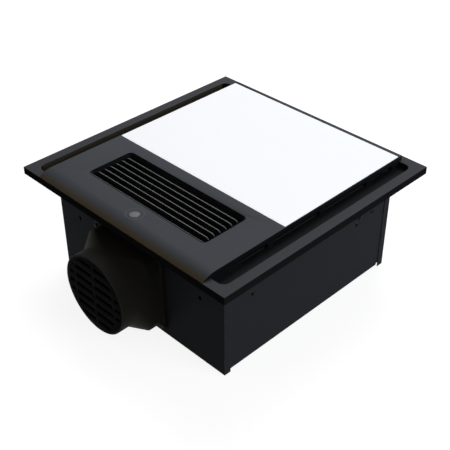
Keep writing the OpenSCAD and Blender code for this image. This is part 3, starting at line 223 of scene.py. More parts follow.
class GroupKit:
    """Builds the shader node groups that several finishes share, each one once."""

    @staticmethod
    def start(name: str, inputs: dict[str, float | tuple[float, ...]],
              outputs: dict[str, str]) -> tuple[Graph, Sockets, bpy.types.Node]:
        """Makes an empty group with named sockets.

        Args:
            name: Name of the group.
            inputs: Default of each input, which also gives its socket's type.
            outputs: Socket type of each output.

        Returns:
            Its graph, the sockets that bring its inputs, and its output node.
        """
        tree = bpy.data.node_groups.new(name, "ShaderNodeTree")
        for label, default in inputs.items():
            kind = NUMBER if isinstance(default, float) else COLOUR if len(default) == 4 else VECTOR
            socket = tree.interface.new_socket(name=label, in_out="INPUT", socket_type=kind)
            socket.default_value = default
        for label, kind in outputs.items():
            tree.interface.new_socket(name=label, in_out="OUTPUT", socket_type=kind)
        given = tree.nodes.new("NodeGroupInput").outputs
        return Graph(tree), given, tree.nodes.new("NodeGroupOutput")

    @classmethod
    @cache
    def tone(cls) -> bpy.types.NodeTree:
        """Returns the group that mottles a colour and a roughness over the surface."""
        graph, given, sink = cls.start(
            "Surface tone",
            {"Colour": GREY, "Roughness": 0.5, "Patch Scale": 30.0, "Patch Amount": 0.1,
             "Fine Scale": 900.0, "Fine Amount": 0.05},
            {"Colour": COLOUR, "Roughness": NUMBER})
        coords = graph.coords()
        lifts = []
        for kind, detail in (("Patch", 3.0), ("Fine", 2.0)):
            noise = graph.noise(coords, given[f"{kind} Scale"], detail)
            swing = graph.math("SUBTRACT", noise, 0.5)
            lifts.append(graph.math("MULTIPLY", swing, given[f"{kind} Amount"]))
        gain = graph.math("MULTIPLY_ADD", graph.math("ADD", *lifts), 2.0, 1.0)
        tinted = graph.add("VectorMath", {0: given["Colour"], "Scale": gain}, "SCALE")
        rough = graph.math("ADD", given["Roughness"], lifts[0])
        graph.feed(sink, {"Colour": tinted.outputs["Vector"], "Roughness": rough})
        return graph.tree

    @classmethod
    @cache
    def grain(cls) -> bpy.types.NodeTree:
        """Returns the group with the height of a moulding's or a powder coat's fine grain."""
        graph, given, sink = cls.start(
            "Surface grain", {"Cell Scale": 700.0, "Wave Scale": 90.0, "Wave Share": 0.3},
            {"Height": NUMBER})
        coords = graph.coords()
        cells = graph.add("TexVoronoi", {"Vector": coords, "Scale": given["Cell Scale"]})
        cells.feature = "SMOOTH_F1"
        wave = graph.noise(coords, given["Wave Scale"], 2.0)
        part = graph.math("MULTIPLY", wave, given["Wave Share"])
        graph.feed(sink, {"Height": graph.math("ADD", cells.outputs["Distance"], part)})
        return graph.tree

    @classmethod
    @cache
    def worn_and_highlighted_edges(cls) -> bpy.types.NodeTree:
        """Returns the group that lightens an edge's colour in broken stretches, as rubbed wear and,
        on the bezel and vanes, a painted highlight.
        """
        graph, given, sink = cls.start(
            "Rubbed and highlighted edges",
            {"Colour": GREY, "Worn And Highlight Colour": (0.8, 0.8, 0.8, 1.0), "Amount": 0.3},
            {"Colour": COLOUR})
        broken = graph.ramp(graph.noise(graph.coords(), 90.0), 0.3, 0.6)
        share = graph.math("MULTIPLY", broken, given["Amount"])
        graph.feed(sink, {"Colour": graph.blend(given["Colour"], given["Worn And Highlight Colour"], share)})
        return graph.tree

    @classmethod
    @cache
    def reflection_blend(cls) -> bpy.types.NodeTree:
        """Returns the group that blends a colour into another one between two heights, for the
        painted warm reflection on the panel's nose.
        """
        graph, given, sink = cls.start(
            "Painted reflection blend",
            {"Colour": GREY, "Reflection Colour": (0.4, 0.4, 0.4, 1.0), "Top": 1.0, "Bottom": 0.0},
            {"Colour": COLOUR})
        height = graph.add("SeparateXYZ", {"Vector": graph.coords()}).outputs["Z"]
        share = graph.ramp(height, given["Top"], given["Bottom"], "SMOOTHSTEP")
        graph.feed(sink, {"Colour": graph.blend(given["Colour"], given["Reflection Colour"], share)})
        return graph.tree

    @classmethod
    @cache
    def brushed(cls) -> bpy.types.NodeTree:
        """Returns the group that streaks a metal's roughness and height in one direction."""
        graph, given, sink = cls.start(
            "Brushed streaks",
            {"Stretch": (1.0, 20.0, 20.0), "Scale": 60.0, "Roughness": 0.3, "Amount": 0.15},
            {"Roughness": NUMBER, "Height": NUMBER})
        drawn = graph.add("VectorMath", {0: graph.coords(), 1: given["Stretch"]}, "MULTIPLY")
        streak = graph.noise(drawn.outputs["Vector"], given["Scale"])
        swing = graph.math("SUBTRACT", streak, 0.5)
        rough = graph.math("MULTIPLY_ADD", swing, given["Amount"], given["Roughness"])
        graph.feed(sink, {"Roughness": rough, "Height": streak})
        return graph.tree


# ---------------------------------------------------------------- finishes


@dataclass(frozen=True)
class Finish:
    """A surface finish; each kind fills in its own nodes."""

    name: str
    colour: Colour
    wear_and_highlight_colour: Colour = WHITE
    wear_and_highlight: float = 0.0

    def material(self, edge: bool = False) -> bpy.types.Material:
        """Returns the finish's material, made at its first use.

        Args:
            edge: Whether it is for rounded edges, which take rubbed wear and, on the bezel and vanes,
                a painted highlight.

        Returns:
            The material.
        """
        name = f"{self.name}_edge" if edge else self.name
        material = bpy.data.materials.get(name)
        if material is None:
            material = bpy.data.materials.new(name)
            material.use_nodes = True
            graph = Graph(material.node_tree)
            colour = self.base(graph)
            if edge and self.wear_and_highlight > 0:
                colour = graph.group(GroupKit.worn_and_highlighted_edges(), {
                    "Colour": colour, "Worn And Highlight Colour": self.wear_and_highlight_colour, "Amount": self.wear_and_highlight})["Colour"]
            self.dress(graph, colour)
        return material

    def base(self, graph: Graph) -> Feed:
        """Returns the colour before its edges are lightened as wear and painted highlight; a kind may
        take it from nodes in the graph.
        """
        return self.colour

    def dress(self, graph: Graph, colour: Feed) -> None:
        """Fills in a material's nodes, given its colour before it is mottled."""
        raise NotImplementedError

    @staticmethod
    def mottle(graph: Graph, values: dict[str, Feed]) -> None:
        """Feeds the shader's colour and roughness through the tone group, which takes values."""
        tone = graph.group(GroupKit.tone(), values)
        graph.feed(graph.shader, {"Base Color": tone["Colour"], "Roughness": tone["Roughness"]})


@dataclass(frozen=True)
class Moulded(Finish):
    """Moulded plastic with fine grain, slight patches and lightened edges: rubbed wear, and on the
    bezel and vanes a painted highlight.
    """

    gloss: Gloss = Gloss.SATIN
    grain_scale: float = 900.0
    grain_depth: float = 0.00004
    patch: float = 0.08
    specular: float = 0.35

    def dress(self, graph: Graph, colour: Feed) -> None:
        """Fills in the nodes of the plastic.

        Args:
            graph: Nodes of the material.
            colour: Its colour before it is mottled.
        """
        graph.feed(graph.shader, {"Specular IOR Level": self.specular})
        self.mottle(graph, {
            "Colour": colour, "Roughness": self.gloss.value, "Patch Scale": 14.0,
            "Patch Amount": self.patch, "Fine Scale": self.grain_scale,
            "Fine Amount": self.patch * 0.8})
        grain = graph.group(GroupKit.grain(), {
            "Cell Scale": self.grain_scale, "Wave Scale": self.grain_scale / 12, "Wave Share": 0.4})
        graph.bump(grain["Height"], strength=0.35, depth=self.grain_depth)


@dataclass(frozen=True)
class Nosed(Moulded):
    """Moulded plastic whose rounded front takes a painted warm reflection, blended in down its
    height.
    """

    painted_reflection_colour: Colour = (0.1, 0.1, 0.1, 1.0)
    top: float = 1.0
    bottom: float = 0.0

    def base(self, graph: Graph) -> Feed:
        """Returns the colour of the flat top, blended into the painted warm reflection down the
        front.
        """
        return graph.group(GroupKit.reflection_blend(), {
            "Colour": self.colour, "Reflection Colour": self.painted_reflection_colour, "Top": self.top,
            "Bottom": self.bottom})["Colour"]


@dataclass(frozen=True)
class Coated(Finish):
    """Powder coated sheet steel with an orange peel surface."""

    roughness: float = 0.5
    specular: float = 0.01

    def dress(self, graph: Graph, colour: Feed) -> None:
        """Fills in the nodes of the coat.

        Args:
            graph: Nodes of the material.
            colour: Its colour before it is mottled.
        """
        graph.feed(graph.shader, {"Specular IOR Level": self.specular})
        self.mottle(graph, {
            "Colour": colour, "Roughness": self.roughness, "Patch Scale": 9.0,
            "Patch Amount": 0.12, "Fine Scale": 420.0, "Fine Amount": 0.1})
        peel = graph.group(GroupKit.grain(), {
            "Cell Scale": 480.0, "Wave Scale": 40.0, "Wave Share": 0.8})
        graph.bump(peel["Height"], strength=0.3, depth=0.00005)


@dataclass(frozen=True)
class Metal(Finish):
    """Bare or plated metal with streaks along one direction."""

    roughness: float = 0.32
    stretch: Point = (1.0, 18.0, 18.0)

    def dress(self, graph: Graph, colour: Feed) -> None:
        """Fills in the nodes of the metal.

        Args:
            graph: Nodes of the material.
            colour: Its colour before it is mottled.
        """
        tone = graph.group(GroupKit.tone(), {
            "Colour": colour, "Roughness": self.roughness, "Patch Scale": 40.0,
            "Patch Amount": 0.12})
        streak = graph.group(GroupKit.brushed(), {
            "Stretch": self.stretch, "Roughness": self.roughness, "Amount": 0.25})
        graph.feed(graph.shader, {
            "Base Color": tone["Colour"], "Metallic": 1.0, "Roughness": streak["Roughness"]})
        graph.bump(streak["Height"], strength=0.15, depth=0.00003)


@dataclass(frozen=True)
class Opal(Finish):
    """Opal acrylic over the lamp, faintly lit from behind."""

    glow: float = 0.22
    glow_colour: Colour = (0.97, 0.985, 1.0, 1.0)

    def dress(self, graph: Graph, colour: Feed) -> None:
        """Fills in the nodes of the acrylic.

        Args:
            graph: Nodes of the material.
            colour: Its colour before it is mottled.
        """
        graph.feed(graph.shader, {
            "Specular IOR Level": 0.3, "Emission Color": self.glow_colour,
            "Emission Strength": self.glow})
        self.mottle(graph, {
            "Colour": colour, "Roughness": 0.38, "Patch Scale": 6.0, "Patch Amount": 0.015,
            "Fine Scale": 500.0, "Fine Amount": 0.01})
        grain = graph.group(GroupKit.grain(), {
            "Cell Scale": 1500.0, "Wave Scale": 120.0, "Wave Share": 0.3})
        graph.bump(grain["Height"], strength=0.2, depth=0.00002)


class Finishes:
    """The finishes of this object's own pieces."""

    FRAME = Moulded("fascia_charcoal", linear(58, 59, 63), linear(84, 86, 90), 0.25, specular=0.04)
    # Painted shade: a darker copy of the fascia's colour for its outer sides, front and underside.
    FRAME_SHADE = Moulded("fascia_painted_shade", linear(33, 33, 34), linear(44, 45, 46), 0.25, specular=0.0)
    # Painted shade: near-black for the recessed intake troughs and for the raised panel's sides that
    # face them.
    TROUGH_SHADE = Moulded("trough_painted_shade", linear(19, 20, 22), linear(34, 35, 37), 0.2, Gloss.MATT,
                     specular=0.05)
    # Painted light: a warm, lighter brown on the troughs' outer walls, where the lamps barely reach.
    TROUGH_WALL_LIGHT = Moulded("trough_wall", linear(77, 70, 60), linear(88, 82, 73), 0.2, Gloss.MATT,
                          specular=0.08)
    # Painted reflection: the nose turns warm brown between the top and bottom heights.
    PANEL = Nosed("panel_charcoal", linear(61, 64, 70), linear(88, 92, 97), 0.25, specular=0.05,
                  painted_reflection_colour=linear(64, 55, 40), top=0.1552, bottom=0.1515)
    # Painted highlight: the vanes' rounded edges are lightened towards mid grey.
    VANE = Moulded("vane_charcoal", linear(24, 25, 27), linear(56, 57, 59), 0.5, specular=0.06)
    # Painted highlight: light grey on the vanes' upward faces, standing in for the light lines along
    # them.
    VANE_HIGHLIGHT = Moulded("vane_painted_highlight", linear(96, 97, 98), linear(120, 121, 122), 0.5, specular=0.2)
    # Painted highlight: the bezel's rounded edges are lightened almost to pale grey.
    BEZEL = Moulded("bezel_black", linear(28, 29, 31), linear(112, 114, 117), 0.9, specular=0.08)
    # Painted highlight: light grey on the level top of the bezel lip's near stretch.
    BEZEL_HIGHLIGHT = Moulded("bezel_painted_highlight", linear(80, 82, 85), linear(112, 114, 117), 0.9, specular=0.08)
    # Painted shade: near-black on the bezel lip's far stretches and its forward faces.
    BEZEL_SHADE = Moulded("bezel_painted_shade", linear(14, 14, 15), linear(20, 20, 21), 0.2, Gloss.MATT,
                     specular=0.0)
    LENS = Moulded("window_grey", linear(100, 102, 107), linear(140, 142, 146), 0.1, Gloss.SATIN,
                   1500.0, 0.000005, 0.02, 0.2)
    RING = Moulded("window_ring", linear(75, 78, 82), linear(120, 122, 125), 0.1, specular=0.1)
    SHEET = Coated("coated_sheet", linear(50, 52, 56), (0.25, 0.25, 0.26, 1.0), 0.3)
    ADAPTER = Moulded("adapter_black", linear(38, 37, 34), linear(46, 45, 43), 0.3, Gloss.MATT,
                      600.0, 0.00006, 0.12, 0.03)
    GUARD = Moulded("guard_black", linear(28, 28, 28), linear(30, 30, 30), 0.3, Gloss.MATT,
                    600.0, 0.00006, 0.12, 0.004)
    GUIDE = Moulded("air_guide_black", linear(30, 31, 33), linear(70, 70, 72), 0.2, Gloss.MATT,
                    specular=0.1)
    PLATE = Moulded("damper_grey", linear(150, 152, 154), linear(180, 180, 182), 0.1, Gloss.MATT)
    WHITE = Moulded("white_moulding", linear(222, 222, 218), linear(240, 240, 238), 0.1)
    BOARD = Moulded("board_green", linear(30, 92, 48), linear(120, 160, 120), 0.1, Gloss.POLISHED,
                    260.0, 0.00003, 0.2)
    WHITE_BOARD = Moulded("board_white", linear(232, 233, 230), linear(240, 240, 240), 0.1)
    CHIP = Moulded("chip_yellow", linear(236, 204, 92), linear(250, 240, 160), 0.1, Gloss.POLISHED)
    RELAY = Moulded("relay_blue", linear(42, 84, 150), linear(90, 130, 190), 0.2)
    PHENOLIC = Moulded("phenolic_black", linear(34, 28, 26), linear(80, 70, 66), 0.2)
    RUBBER = Moulded("soft_rubber", linear(28, 28, 28), linear(60, 60, 60), 0.2, Gloss.MATT,
                     300.0, 0.00012, 0.2)
    OPAL = Opal("opal_acrylic", linear(244, 246, 250))
    ZINC = Metal("zinc_plate", linear(176, 178, 184), roughness=0.34)
    STEEL = Metal("bright_steel", linear(190, 191, 194), roughness=0.26)
    ALUMINIUM = Metal("mill_aluminium", linear(206, 207, 208), roughness=0.36)
    CAST = Metal("cast_shell", linear(150, 152, 155), roughness=0.5, stretch=(6.0, 6.0, 6.0))
    BRASS = Metal("brass", linear(200, 164, 92), roughness=0.28)
    BLACK_SCREW = Moulded("black_screw", linear(34, 34, 36), linear(90, 90, 92), 0.6,
                          specular=0.07)


# ---------------------------------------------------------------- meshes


@dataclass(frozen=True)
class Rounding:
    """Rounding of sharp edges: its width in metres, its steps, and which edges take it."""

    width: float
    steps: int = 2
    picks: EdgeRule = lambda edge: True

    @classmethod
    def above(cls, height: float, width: float) -> "Rounding":
        """Returns a rounding of a width for the edges that lie above a height."""
        return cls(width, picks=lambda edge: all(corner.co.z > height for corner in edge.verts))


class Shape:
    """Makes and finishes meshes."""

    @staticmethod
    def publish(name: str, mesh: bpy.types.Mesh, finish: Finish) -> bpy.types.Object:
        """Puts a mesh into the scene as an object with a finish.

        Args:
            name: Name of the piece.
            mesh: Its mesh.
            finish: Its finish.

        Returns:
            The object.
        """
        piece = bpy.data.objects.new(name, mesh)
        bpy.context.scene.collection.objects.link(piece)
        mesh.materials.clear()
        mesh.materials.append(finish.material())
        return piece

    @staticmethod
    def settle(piece: bpy.types.Object) -> None:
        """Applies a piece's modifiers to its mesh.

        Args:
            piece: Object with modifiers.
        """
        depsgraph = bpy.context.evaluated_depsgraph_get()
        mesh = bpy.data.meshes.new_from_object(piece.evaluated_get(depsgraph))
        piece.modifiers.clear()
        piece.data = mesh

    @classmethod
    def from_node(cls, node: str, finish: Finish, rounding: Rounding | None) -> bpy.types.Object:
        """Makes a piece from a copy of a CAD node, with even shading.

        Args:
            node: Name of the CAD node.
            finish: Its finish, whose edge material the rounded edges take.
            rounding: Rounding of its edges, or none.

        Returns:
            The new piece.
        """
        work = bmesh.new()
        work.from_mesh(frame["nodes"][node].data)
        bmesh.ops.remove_doubles(work, verts=work.verts, dist=WELD)
        cls.number_flats(work)
        weight = work.edges.layers.float.new("bevel_weight_edge")
        for edge in work.edges:
            if rounding and edge.calc_face_angle(0.0) > SHARP_ANGLE and rounding.picks(edge):
                edge[weight] = 1.0
        name = f"{node}_moulding"
        mesh = bpy.data.meshes.new(name)
        work.to_mesh(mesh)
        work.free()
        piece = cls.publish(name, mesh, finish)
        if rounding:
            cls.round_edges(piece, finish, rounding)
        piece.data.shade_smooth()
        piece.data.set_sharp_from_angle(angle=CREASE_ANGLE)
        even = piece.modifiers.new("normals", "WEIGHTED_NORMAL")
        even.keep_sharp = True
        cls.settle(piece)
        return piece

    @classmethod
    def round_edges(cls, piece: bpy.types.Object, finish: Finish, rounding: Rounding) -> None:
        """Rounds the edges that carry a bevel weight and fills the flats beside them afresh.

        Args:
            piece: Object to round.
            finish: Its finish, whose edge material the rounded edges take.
            rounding: Width and steps of the rounding.
        """
        piece.data.materials.append(finish.material(edge=True))
        bevel = piece.modifiers.new("edge", "BEVEL")
        bevel.limit_method = "WEIGHT"
        bevel.width = rounding.width
        bevel.segments = rounding.steps
        bevel.material = 1
        bevel.use_clamp_overlap = False
        bevel.loop_slide = False
        bevel.miter_outer = "MITER_SHARP"
        cls.settle(piece)
        work = bmesh.new()
        work.from_mesh(piece.data)
        cls.refill_flats(work)
        work.to_mesh(piece.data)
        work.free()

    @staticmethod
    def number_flats(work: bmesh.types.BMesh) -> None:
        """Numbers the connected flat regions of a mesh in a face layer.

        Args:
            work: The mesh.
        """
        layer = work.faces.layers.int.new(FLAT_LAYER)
        number = 0
        for first in work.faces:
            if first[layer]:
                continue
            number += 1
            first[layer] = number
            waiting = [first]
            while waiting:
                for edge in waiting.pop().edges:
                    if edge.calc_face_angle(1.0) > FLAT_ANGLE:
                        continue
                    for face in edge.link_faces:
                        if not face[layer]:
                            face[layer] = number
                            waiting.append(face)

    @classmethod
    def refill_flats(cls, work: bmesh.types.BMesh) -> None:
        """Fills each flat beside a rounded edge afresh, as its thin triangles may have folded.

        Args:
            work: Mesh after the rounding, with the rounded faces in the second material.
        """
        layer = work.faces.layers.int[FLAT_LAYER]
        flats: dict[int, list[bmesh.types.BMFace]] = {}
        for face in work.faces:
            if face.material_index == 0:
                flats.setdefault(face[layer], []).append(face)
        for faces in flats.values():
            members = set(faces)
            edges = list(dict.fromkeys(edge for face in faces for edge in face.edges))
            rim = [edge for edge in edges if not members.issuperset(edge.link_faces)]
            beside = any(face.material_index for edge in rim for face in edge.link_faces)
            if len(faces) == 1 or not beside:
                continue
            normal = max(faces, key=lambda face: face.calc_area()).normal.copy()
            rim_set = set(rim)
            inner = [edge for edge in edges if edge not in rim_set]
            bmesh.ops.delete(work, geom=faces, context="FACES_ONLY")
            bmesh.ops.delete(work, geom=inner, context="EDGES")
            for corners in cls.triangles(rim, normal):
                work.faces.new(corners)
        loose = [corner for corner in work.verts if not corner.link_faces]
        bmesh.ops.delete(work, geom=loose, context="VERTS")

    @staticmethod
    def triangles(rim: list[bmesh.types.BMEdge],
                  normal: Vector) -> list[list[bmesh.types.BMVert]]:
        """Splits a flat region with holes into triangles between its own corners.

        Args:
            rim: Edges around the region and its holes.
            normal: Normal of the region.

        Returns:
            The corners of each triangle, in order around the normal.
        """
        across = normal.orthogonal().normalized()
        along = normal.cross(across)
        corners = list(dict.fromkeys(corner for edge in rim for corner in edge.verts))
        number = {corner: i for i, corner in enumerate(corners)}
        flat = [Vector((corner.co.dot(across), corner.co.dot(along))) for corner in corners]
        lines = [(number[edge.verts[0]], number[edge.verts[1]]) for edge in rim]
        spots, _, trios, origins, _, _ = delaunay_2d_cdt(flat, lines, [], INNER_TRIANGLES, SNAP)
        kept = []
        for trio in trios:
            middle = sum((spots[i] for i in trio), Vector((0, 0))) / 3
            inside = False
            for start, end in lines:
                low, high = flat[start], flat[end]
                if (low.y > middle.y) != (high.y > middle.y):
                    cut = low.x + (middle.y - low.y) * (high.x - low.x) / (high.y - low.y)
                    inside ^= middle.x < cut
            if inside:
                kept.append([corners[origins[i][0]] for i in trio])
        return kept

    @staticmethod
    def paint(piece: bpy.types.Object, finish: Finish, picks: FaceRule) -> None:
        """Gives some faces of a finished piece another finish.

        Args:
            piece: The piece.
            finish: The other finish.
            picks: Says of a face's centre and normal whether it takes the finish.
        """
        piece.data.materials.append(finish.material())
        last = len(piece.data.materials) - 1
        for face in piece.data.polygons:
            if picks(face.center, face.normal):
                face.material_index = last

    @staticmethod
    def lathe(work: bmesh.types.BMesh, profile: list[tuple[float, float]], place: Matrix,
              steps: int) -> list[list[bmesh.types.BMVert]]:
        """Adds a turned body around the Z axis of a placement.

        Args:
            work: Mesh under construction.
            profile: Radius and height of each point, from one end to the other.
            place: Where the body goes.
            steps: Faces around the axis.

        Returns:
            The corners of each ring; one on the axis has a single corner.
        """
        rings = []
        for radius, height in profile:
            turns = [2 * math.pi * i / steps for i in range(steps)] if radius > 0 else [0.0]
            spots = [Vector((radius * math.cos(a), radius * math.sin(a), height)) for a in turns]
            rings.append([work.verts.new(place @ spot) for spot in spots])
        for low, high in zip(rings, rings[1:]):
            for i in range(steps):
                j = (i + 1) % steps
                corners = [low[i % len(low)], low[j % len(low)],
                           high[j % len(high)], high[i % len(high)]]
                unique = list(dict.fromkeys(corners))
                if len(unique) > 2:
                    work.faces.new(unique)
        return rings

    @staticmethod
    def finish_mesh(work: bmesh.types.BMesh, name: str, sharp: float = 40.0) -> bpy.types.Mesh:
        """Closes a mesh under construction.

        Args:
            work: Mesh under construction.
            name: Name of the mesh.
            sharp: Smallest angle of an edge that stays sharp, in degrees.

        Returns:
            The finished mesh.
        """
        bmesh.ops.recalc_face_normals(work, faces=work.faces)
        mesh = bpy.data.meshes.new(name)
        work.to_mesh(mesh)
        work.free()
        mesh.shade_smooth()
        mesh.set_sharp_from_angle(angle=math.radians(sharp))
        return mesh


@dataclass
class Screw:
    """Pan head screw with a cross recess and a short stem; shares are of the head's size."""

    radius: float
    height: float
    stem: float
    stem_radius: float = 0.0014
    dome: tuple[tuple[float, float], ...] = (
        (0.0, 0.0), (1.0, 0.0), (1.0, 0.45), (0.92, 0.75), (0.78, 0.94), (0.66, 1.0))
    arm_share: float = 0.55
    slot_share: float = 0.14
    floor_share: float = 0.35
    taper: float = 0.8
    head_steps: int = 32
    stem_steps: int = 20

    def add(self, work: bmesh.types.BMesh, place: Matrix) -> None:
        """Adds the screw, the underside of its head on the placement's XY plane.

        Args:
            work: Mesh under construction.
            place: Where the screw goes; its Z axis points out of the head.
        """
        profile = [(self.radius * out, self.height * up) for out, up in self.dome]
        rim = Shape.lathe(work, profile, place, self.head_steps)[-1]
        arm, half = self.radius * self.arm_share, self.radius * self.slot_share
        cross = [(arm, -half), (arm, half), (half, half), (half, arm), (-half, arm), (-half, half),
                 (-arm, half), (-arm, -half), (-half, -half), (-half, -arm), (half, -arm),
                 (half, -half)]
        floor = self.height * self.floor_share
        upper, lower = (
            [work.verts.new(place @ Vector((x * share, y * share, z))) for x, y in cross]
            for share, z in ((1.0, self.height), (self.taper, floor)))
        for (first, second), (fourth, third) in zip(neighbours(upper), neighbours(lower)):
            work.faces.new((first, second, third, fourth))
        work.faces.new(lower)
        edges = [work.edges.get(pair) for ring in (rim, upper) for pair in neighbours(ring)]
        bmesh.ops.triangle_fill(work, edges=edges, use_beauty=True)
        end = self.stem_radius
        Shape.lathe(work, [(0.0, 0.0), (end, 0.0), (end, self.stem), (0.0, self.stem)],
                    place @ Matrix.Translation((0, 0, -self.stem)), self.stem_steps)


# ---------------------------------------------------------------- sub-assemblies


@dataclass
class SubAssembly:
    """A group of pieces that is built and dressed together."""

    made: list[bpy.types.Object] = field(default_factory=list)

    def keep(self, finish: Finish, *nodes: str) -> None:
        """Dresses CAD nodes whose shape is right as it is.

        Args:
            finish: Their finish.
            nodes: Names of the nodes.
        """
        for name in nodes:
            node = frame["nodes"][name]
            for slot in node.material_slots:
                slot.material = finish.material()
            self.made.append(node)

    def soft(self, node: str, body: str, finish: Finish,
             rounding: Rounding | None = None) -> bpy.types.Object:
        """Replaces a CAD node on a body by a finished copy with even shading."""
        return self.add(Shape.from_node(node, finish, rounding), body, SLOTS[node], node)

    def add(self, piece: bpy.types.Object, body: str, slot: str,
            *stands_for: str) -> bpy.types.Object:
        """Takes in a new piece.

        Args:
            piece: The piece, in place.
            body: Body that it rides on.
            slot: Material slot of the record for the nodes that it replaces; not used.
            stands_for: CAD nodes that it replaces.

        Returns:
            The piece.
        """
        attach(piece, body)
        if stands_for:
            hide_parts(*stands_for)
        self.made.append(piece)
        return piece

    def screws(self, node: str, name: str, screw: Screw, places: list[Matrix]) -> None:
        """Replaces a CAD node by modelled screws, as one piece.

        Args:
            node: Name of the CAD node.
            name: Name of the new piece.
            screw: The screw.
            places: Where each one goes.
        """
        work = bmesh.new()
        for place in places:
            screw.add(work, place)
        piece = Shape.publish(name, Shape.finish_mesh(work, name), Finishes.BLACK_SCREW)
        self.add(piece, HOUSING, SLOTS[node], node)

    def build(self) -> None:
        """Builds and dresses the pieces."""
        raise NotImplementedError


@dataclass
class Fascia(SubAssembly):
    """Square fascia frame with its intake troughs and its screws."""

    edge: Rounding = Rounding(0.0005, 3)
    strip: float = 0.0135
    skin: float = 0.003
    near: float = 0.0003
    shoulder: float = 0.0004

    def build(self) -> None:
        """Builds the frame and dresses its screws."""
        piece = self.soft("fascia_frame", HOUSING, Finishes.FRAME, self.edge)
        low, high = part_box("fascia_frame")
        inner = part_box("centre_panel")[1].x - self.skin
        outer = high.x - self.strip
        floor, roof = low.z + self.near, high.z - self.shoulder
        # Painted shade: the frame's outer sides, front and underside are painted darker than its top.
        Shape.paint(piece, Finishes.FRAME_SHADE,
                    lambda centre, normal: abs(centre.x) > high.x - self.near
                    or abs(centre.y) > high.y - self.near or centre.z < floor)
        # Painted shade: the trough floors and walls are painted near-black.
        Shape.paint(piece, Finishes.TROUGH_SHADE,
                    lambda centre, normal: inner < abs(centre.x) < outer + self.near
                    and floor < centre.z < roof)
        # Painted light: the troughs' outer walls, which face the panel, are painted warm and light.
        Shape.paint(piece, Finishes.TROUGH_WALL_LIGHT,
                    lambda centre, normal: abs(abs(centre.x) - outer) < self.near
                    and floor < centre.z < roof and normal.x * centre.x < 0)
        self.keep(Finishes.ZINC, "fascia_screws")


@dataclass
class CentrePanel(SubAssembly):
    """Raised panel, the receiver's window with a ring around it, and the receiver's board."""

    edge: float = 0.0006
    edge_steps: int = 3
    nose_back: float = 0.155
    near: float = 0.0001
    side_near: float = 0.0003
    ring_radius: float = 0.0112
    ring_width: float = 0.0009
    ring_height: float = 0.00006
    ring_root: float = 0.0002
    ring_steps: int = 96
    chamfer: float = 0.0002
    slope: float = 0.0001
    groove: float = 0.0003
    dome: float = 0.0003
    dome_width: float = 0.93
    dome_rise: float = 0.7
    dome_steps: int = 8
    lens_steps: int = 64
    sharp: float = 35.0

    def build(self) -> None:
        """Builds the panel, the window and the ring around it."""
        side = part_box("centre_panel")[1].x - self.side_near
        panel = self.soft("centre_panel", HOUSING, Finishes.PANEL,
                          Rounding(self.edge, self.edge_steps, self.outline))
        # Painted shade: the panel's sides, which face the troughs, are painted near-black.
        Shape.paint(panel, Finishes.TROUGH_SHADE,
                    lambda centre, normal: abs(normal.x) > SIDEWAYS and abs(centre.x) > side)
        self.add(self.window(), HOUSING, SLOTS["receiver_window"], "receiver_window")
        self.add(self.ring(), HOUSING, SLOTS["receiver_window"])
        self.keep(Finishes.BOARD, "receiver_board")

    def outline(self, edge: bmesh.types.BMEdge) -> bool:
        """Tells the outline of the raised panel from its cut-outs and its hidden edges.

        Args:
            edge: Sharp edge of the panel.

        Returns:
            Whether the edge is on the outline.
        """
        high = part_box("centre_panel")[1]
        ends = [corner.co for corner in edge.verts]
        if all(abs(end.x) > high.x - self.near for end in ends):
            return all(end.z > high.z - self.near or end.y < -self.nose_back for end in ends)
        return all(end.y > high.y - self.near and end.z > high.z - self.near for end in ends)

    def window(self) -> bpy.types.Object:
        """Makes the slightly domed window with a fine groove inside its rim.

        Returns:
            The window.
        """
        low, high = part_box("receiver_window")
        radius, depth = (high.x - low.x) / 2, high.z - low.z
        place = Matrix.Translation(((low.x + high.x) / 2, (low.y + high.y) / 2, low.z))
        inner = radius - self.ring_width
        top = depth - self.dome
        rise = self.dome * self.dome_rise
        profile = [(0.0, 0.0), (radius, 0.0), (radius, depth - self.chamfer),
                   (radius - self.chamfer, depth), (inner + self.slope, depth), (inner, top),
                   (inner - self.groove, top)]
        turns = [math.pi / 2 * i / self.dome_steps for i in range(self.dome_steps)]
        profile += [(inner * self.dome_width * math.cos(a), top + rise * math.sin(a))
                    for a in turns]
        work = bmesh.new()
        Shape.lathe(work, profile + [(0.0, top + rise)], place, self.lens_steps)
        mesh = Shape.finish_mesh(work, "receiver_lens", self.sharp)
        return Shape.publish("receiver_lens", mesh, Finishes.LENS)

    def ring(self) -> bpy.types.Object:
        """Makes the thin plain ring printed around the window.

        Returns:
            The ring.
        """
        low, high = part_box("receiver_window")
        root = high.z - self.ring_root
        place = Matrix.Translation(((low.x + high.x) / 2, (low.y + high.y) / 2, root))
        outer, inner = self.ring_radius, self.ring_radius - self.ring_width
        rise = self.ring_root + self.ring_height
        profile = [(inner, 0.0), (outer, 0.0), (outer, rise), (inner, rise), (inner, 0.0)]
        work = bmesh.new()
        Shape.lathe(work, profile, place, self.ring_steps)
        bmesh.ops.remove_doubles(work, verts=work.verts, dist=WELD)
        mesh = Shape.finish_mesh(work, "receiver_ring", self.sharp)
        return Shape.publish("receiver_ring", mesh, Finishes.RING)


@dataclass
class LightPanel(SubAssembly):
    """Opal light panel with its tray, board and chips."""

    edge: Rounding = Rounding(0.0005, 3)

    def build(self) -> None:
        """Builds the diffuser and dresses what lies behind it."""
        self.soft("light_diffuser", HOUSING, Finishes.OPAL, self.edge)
        self.keep(Finishes.ALUMINIUM, "light_tray")
        self.keep(Finishes.WHITE_BOARD, "led_board")
        self.keep(Finishes.CHIP, "led_chips")


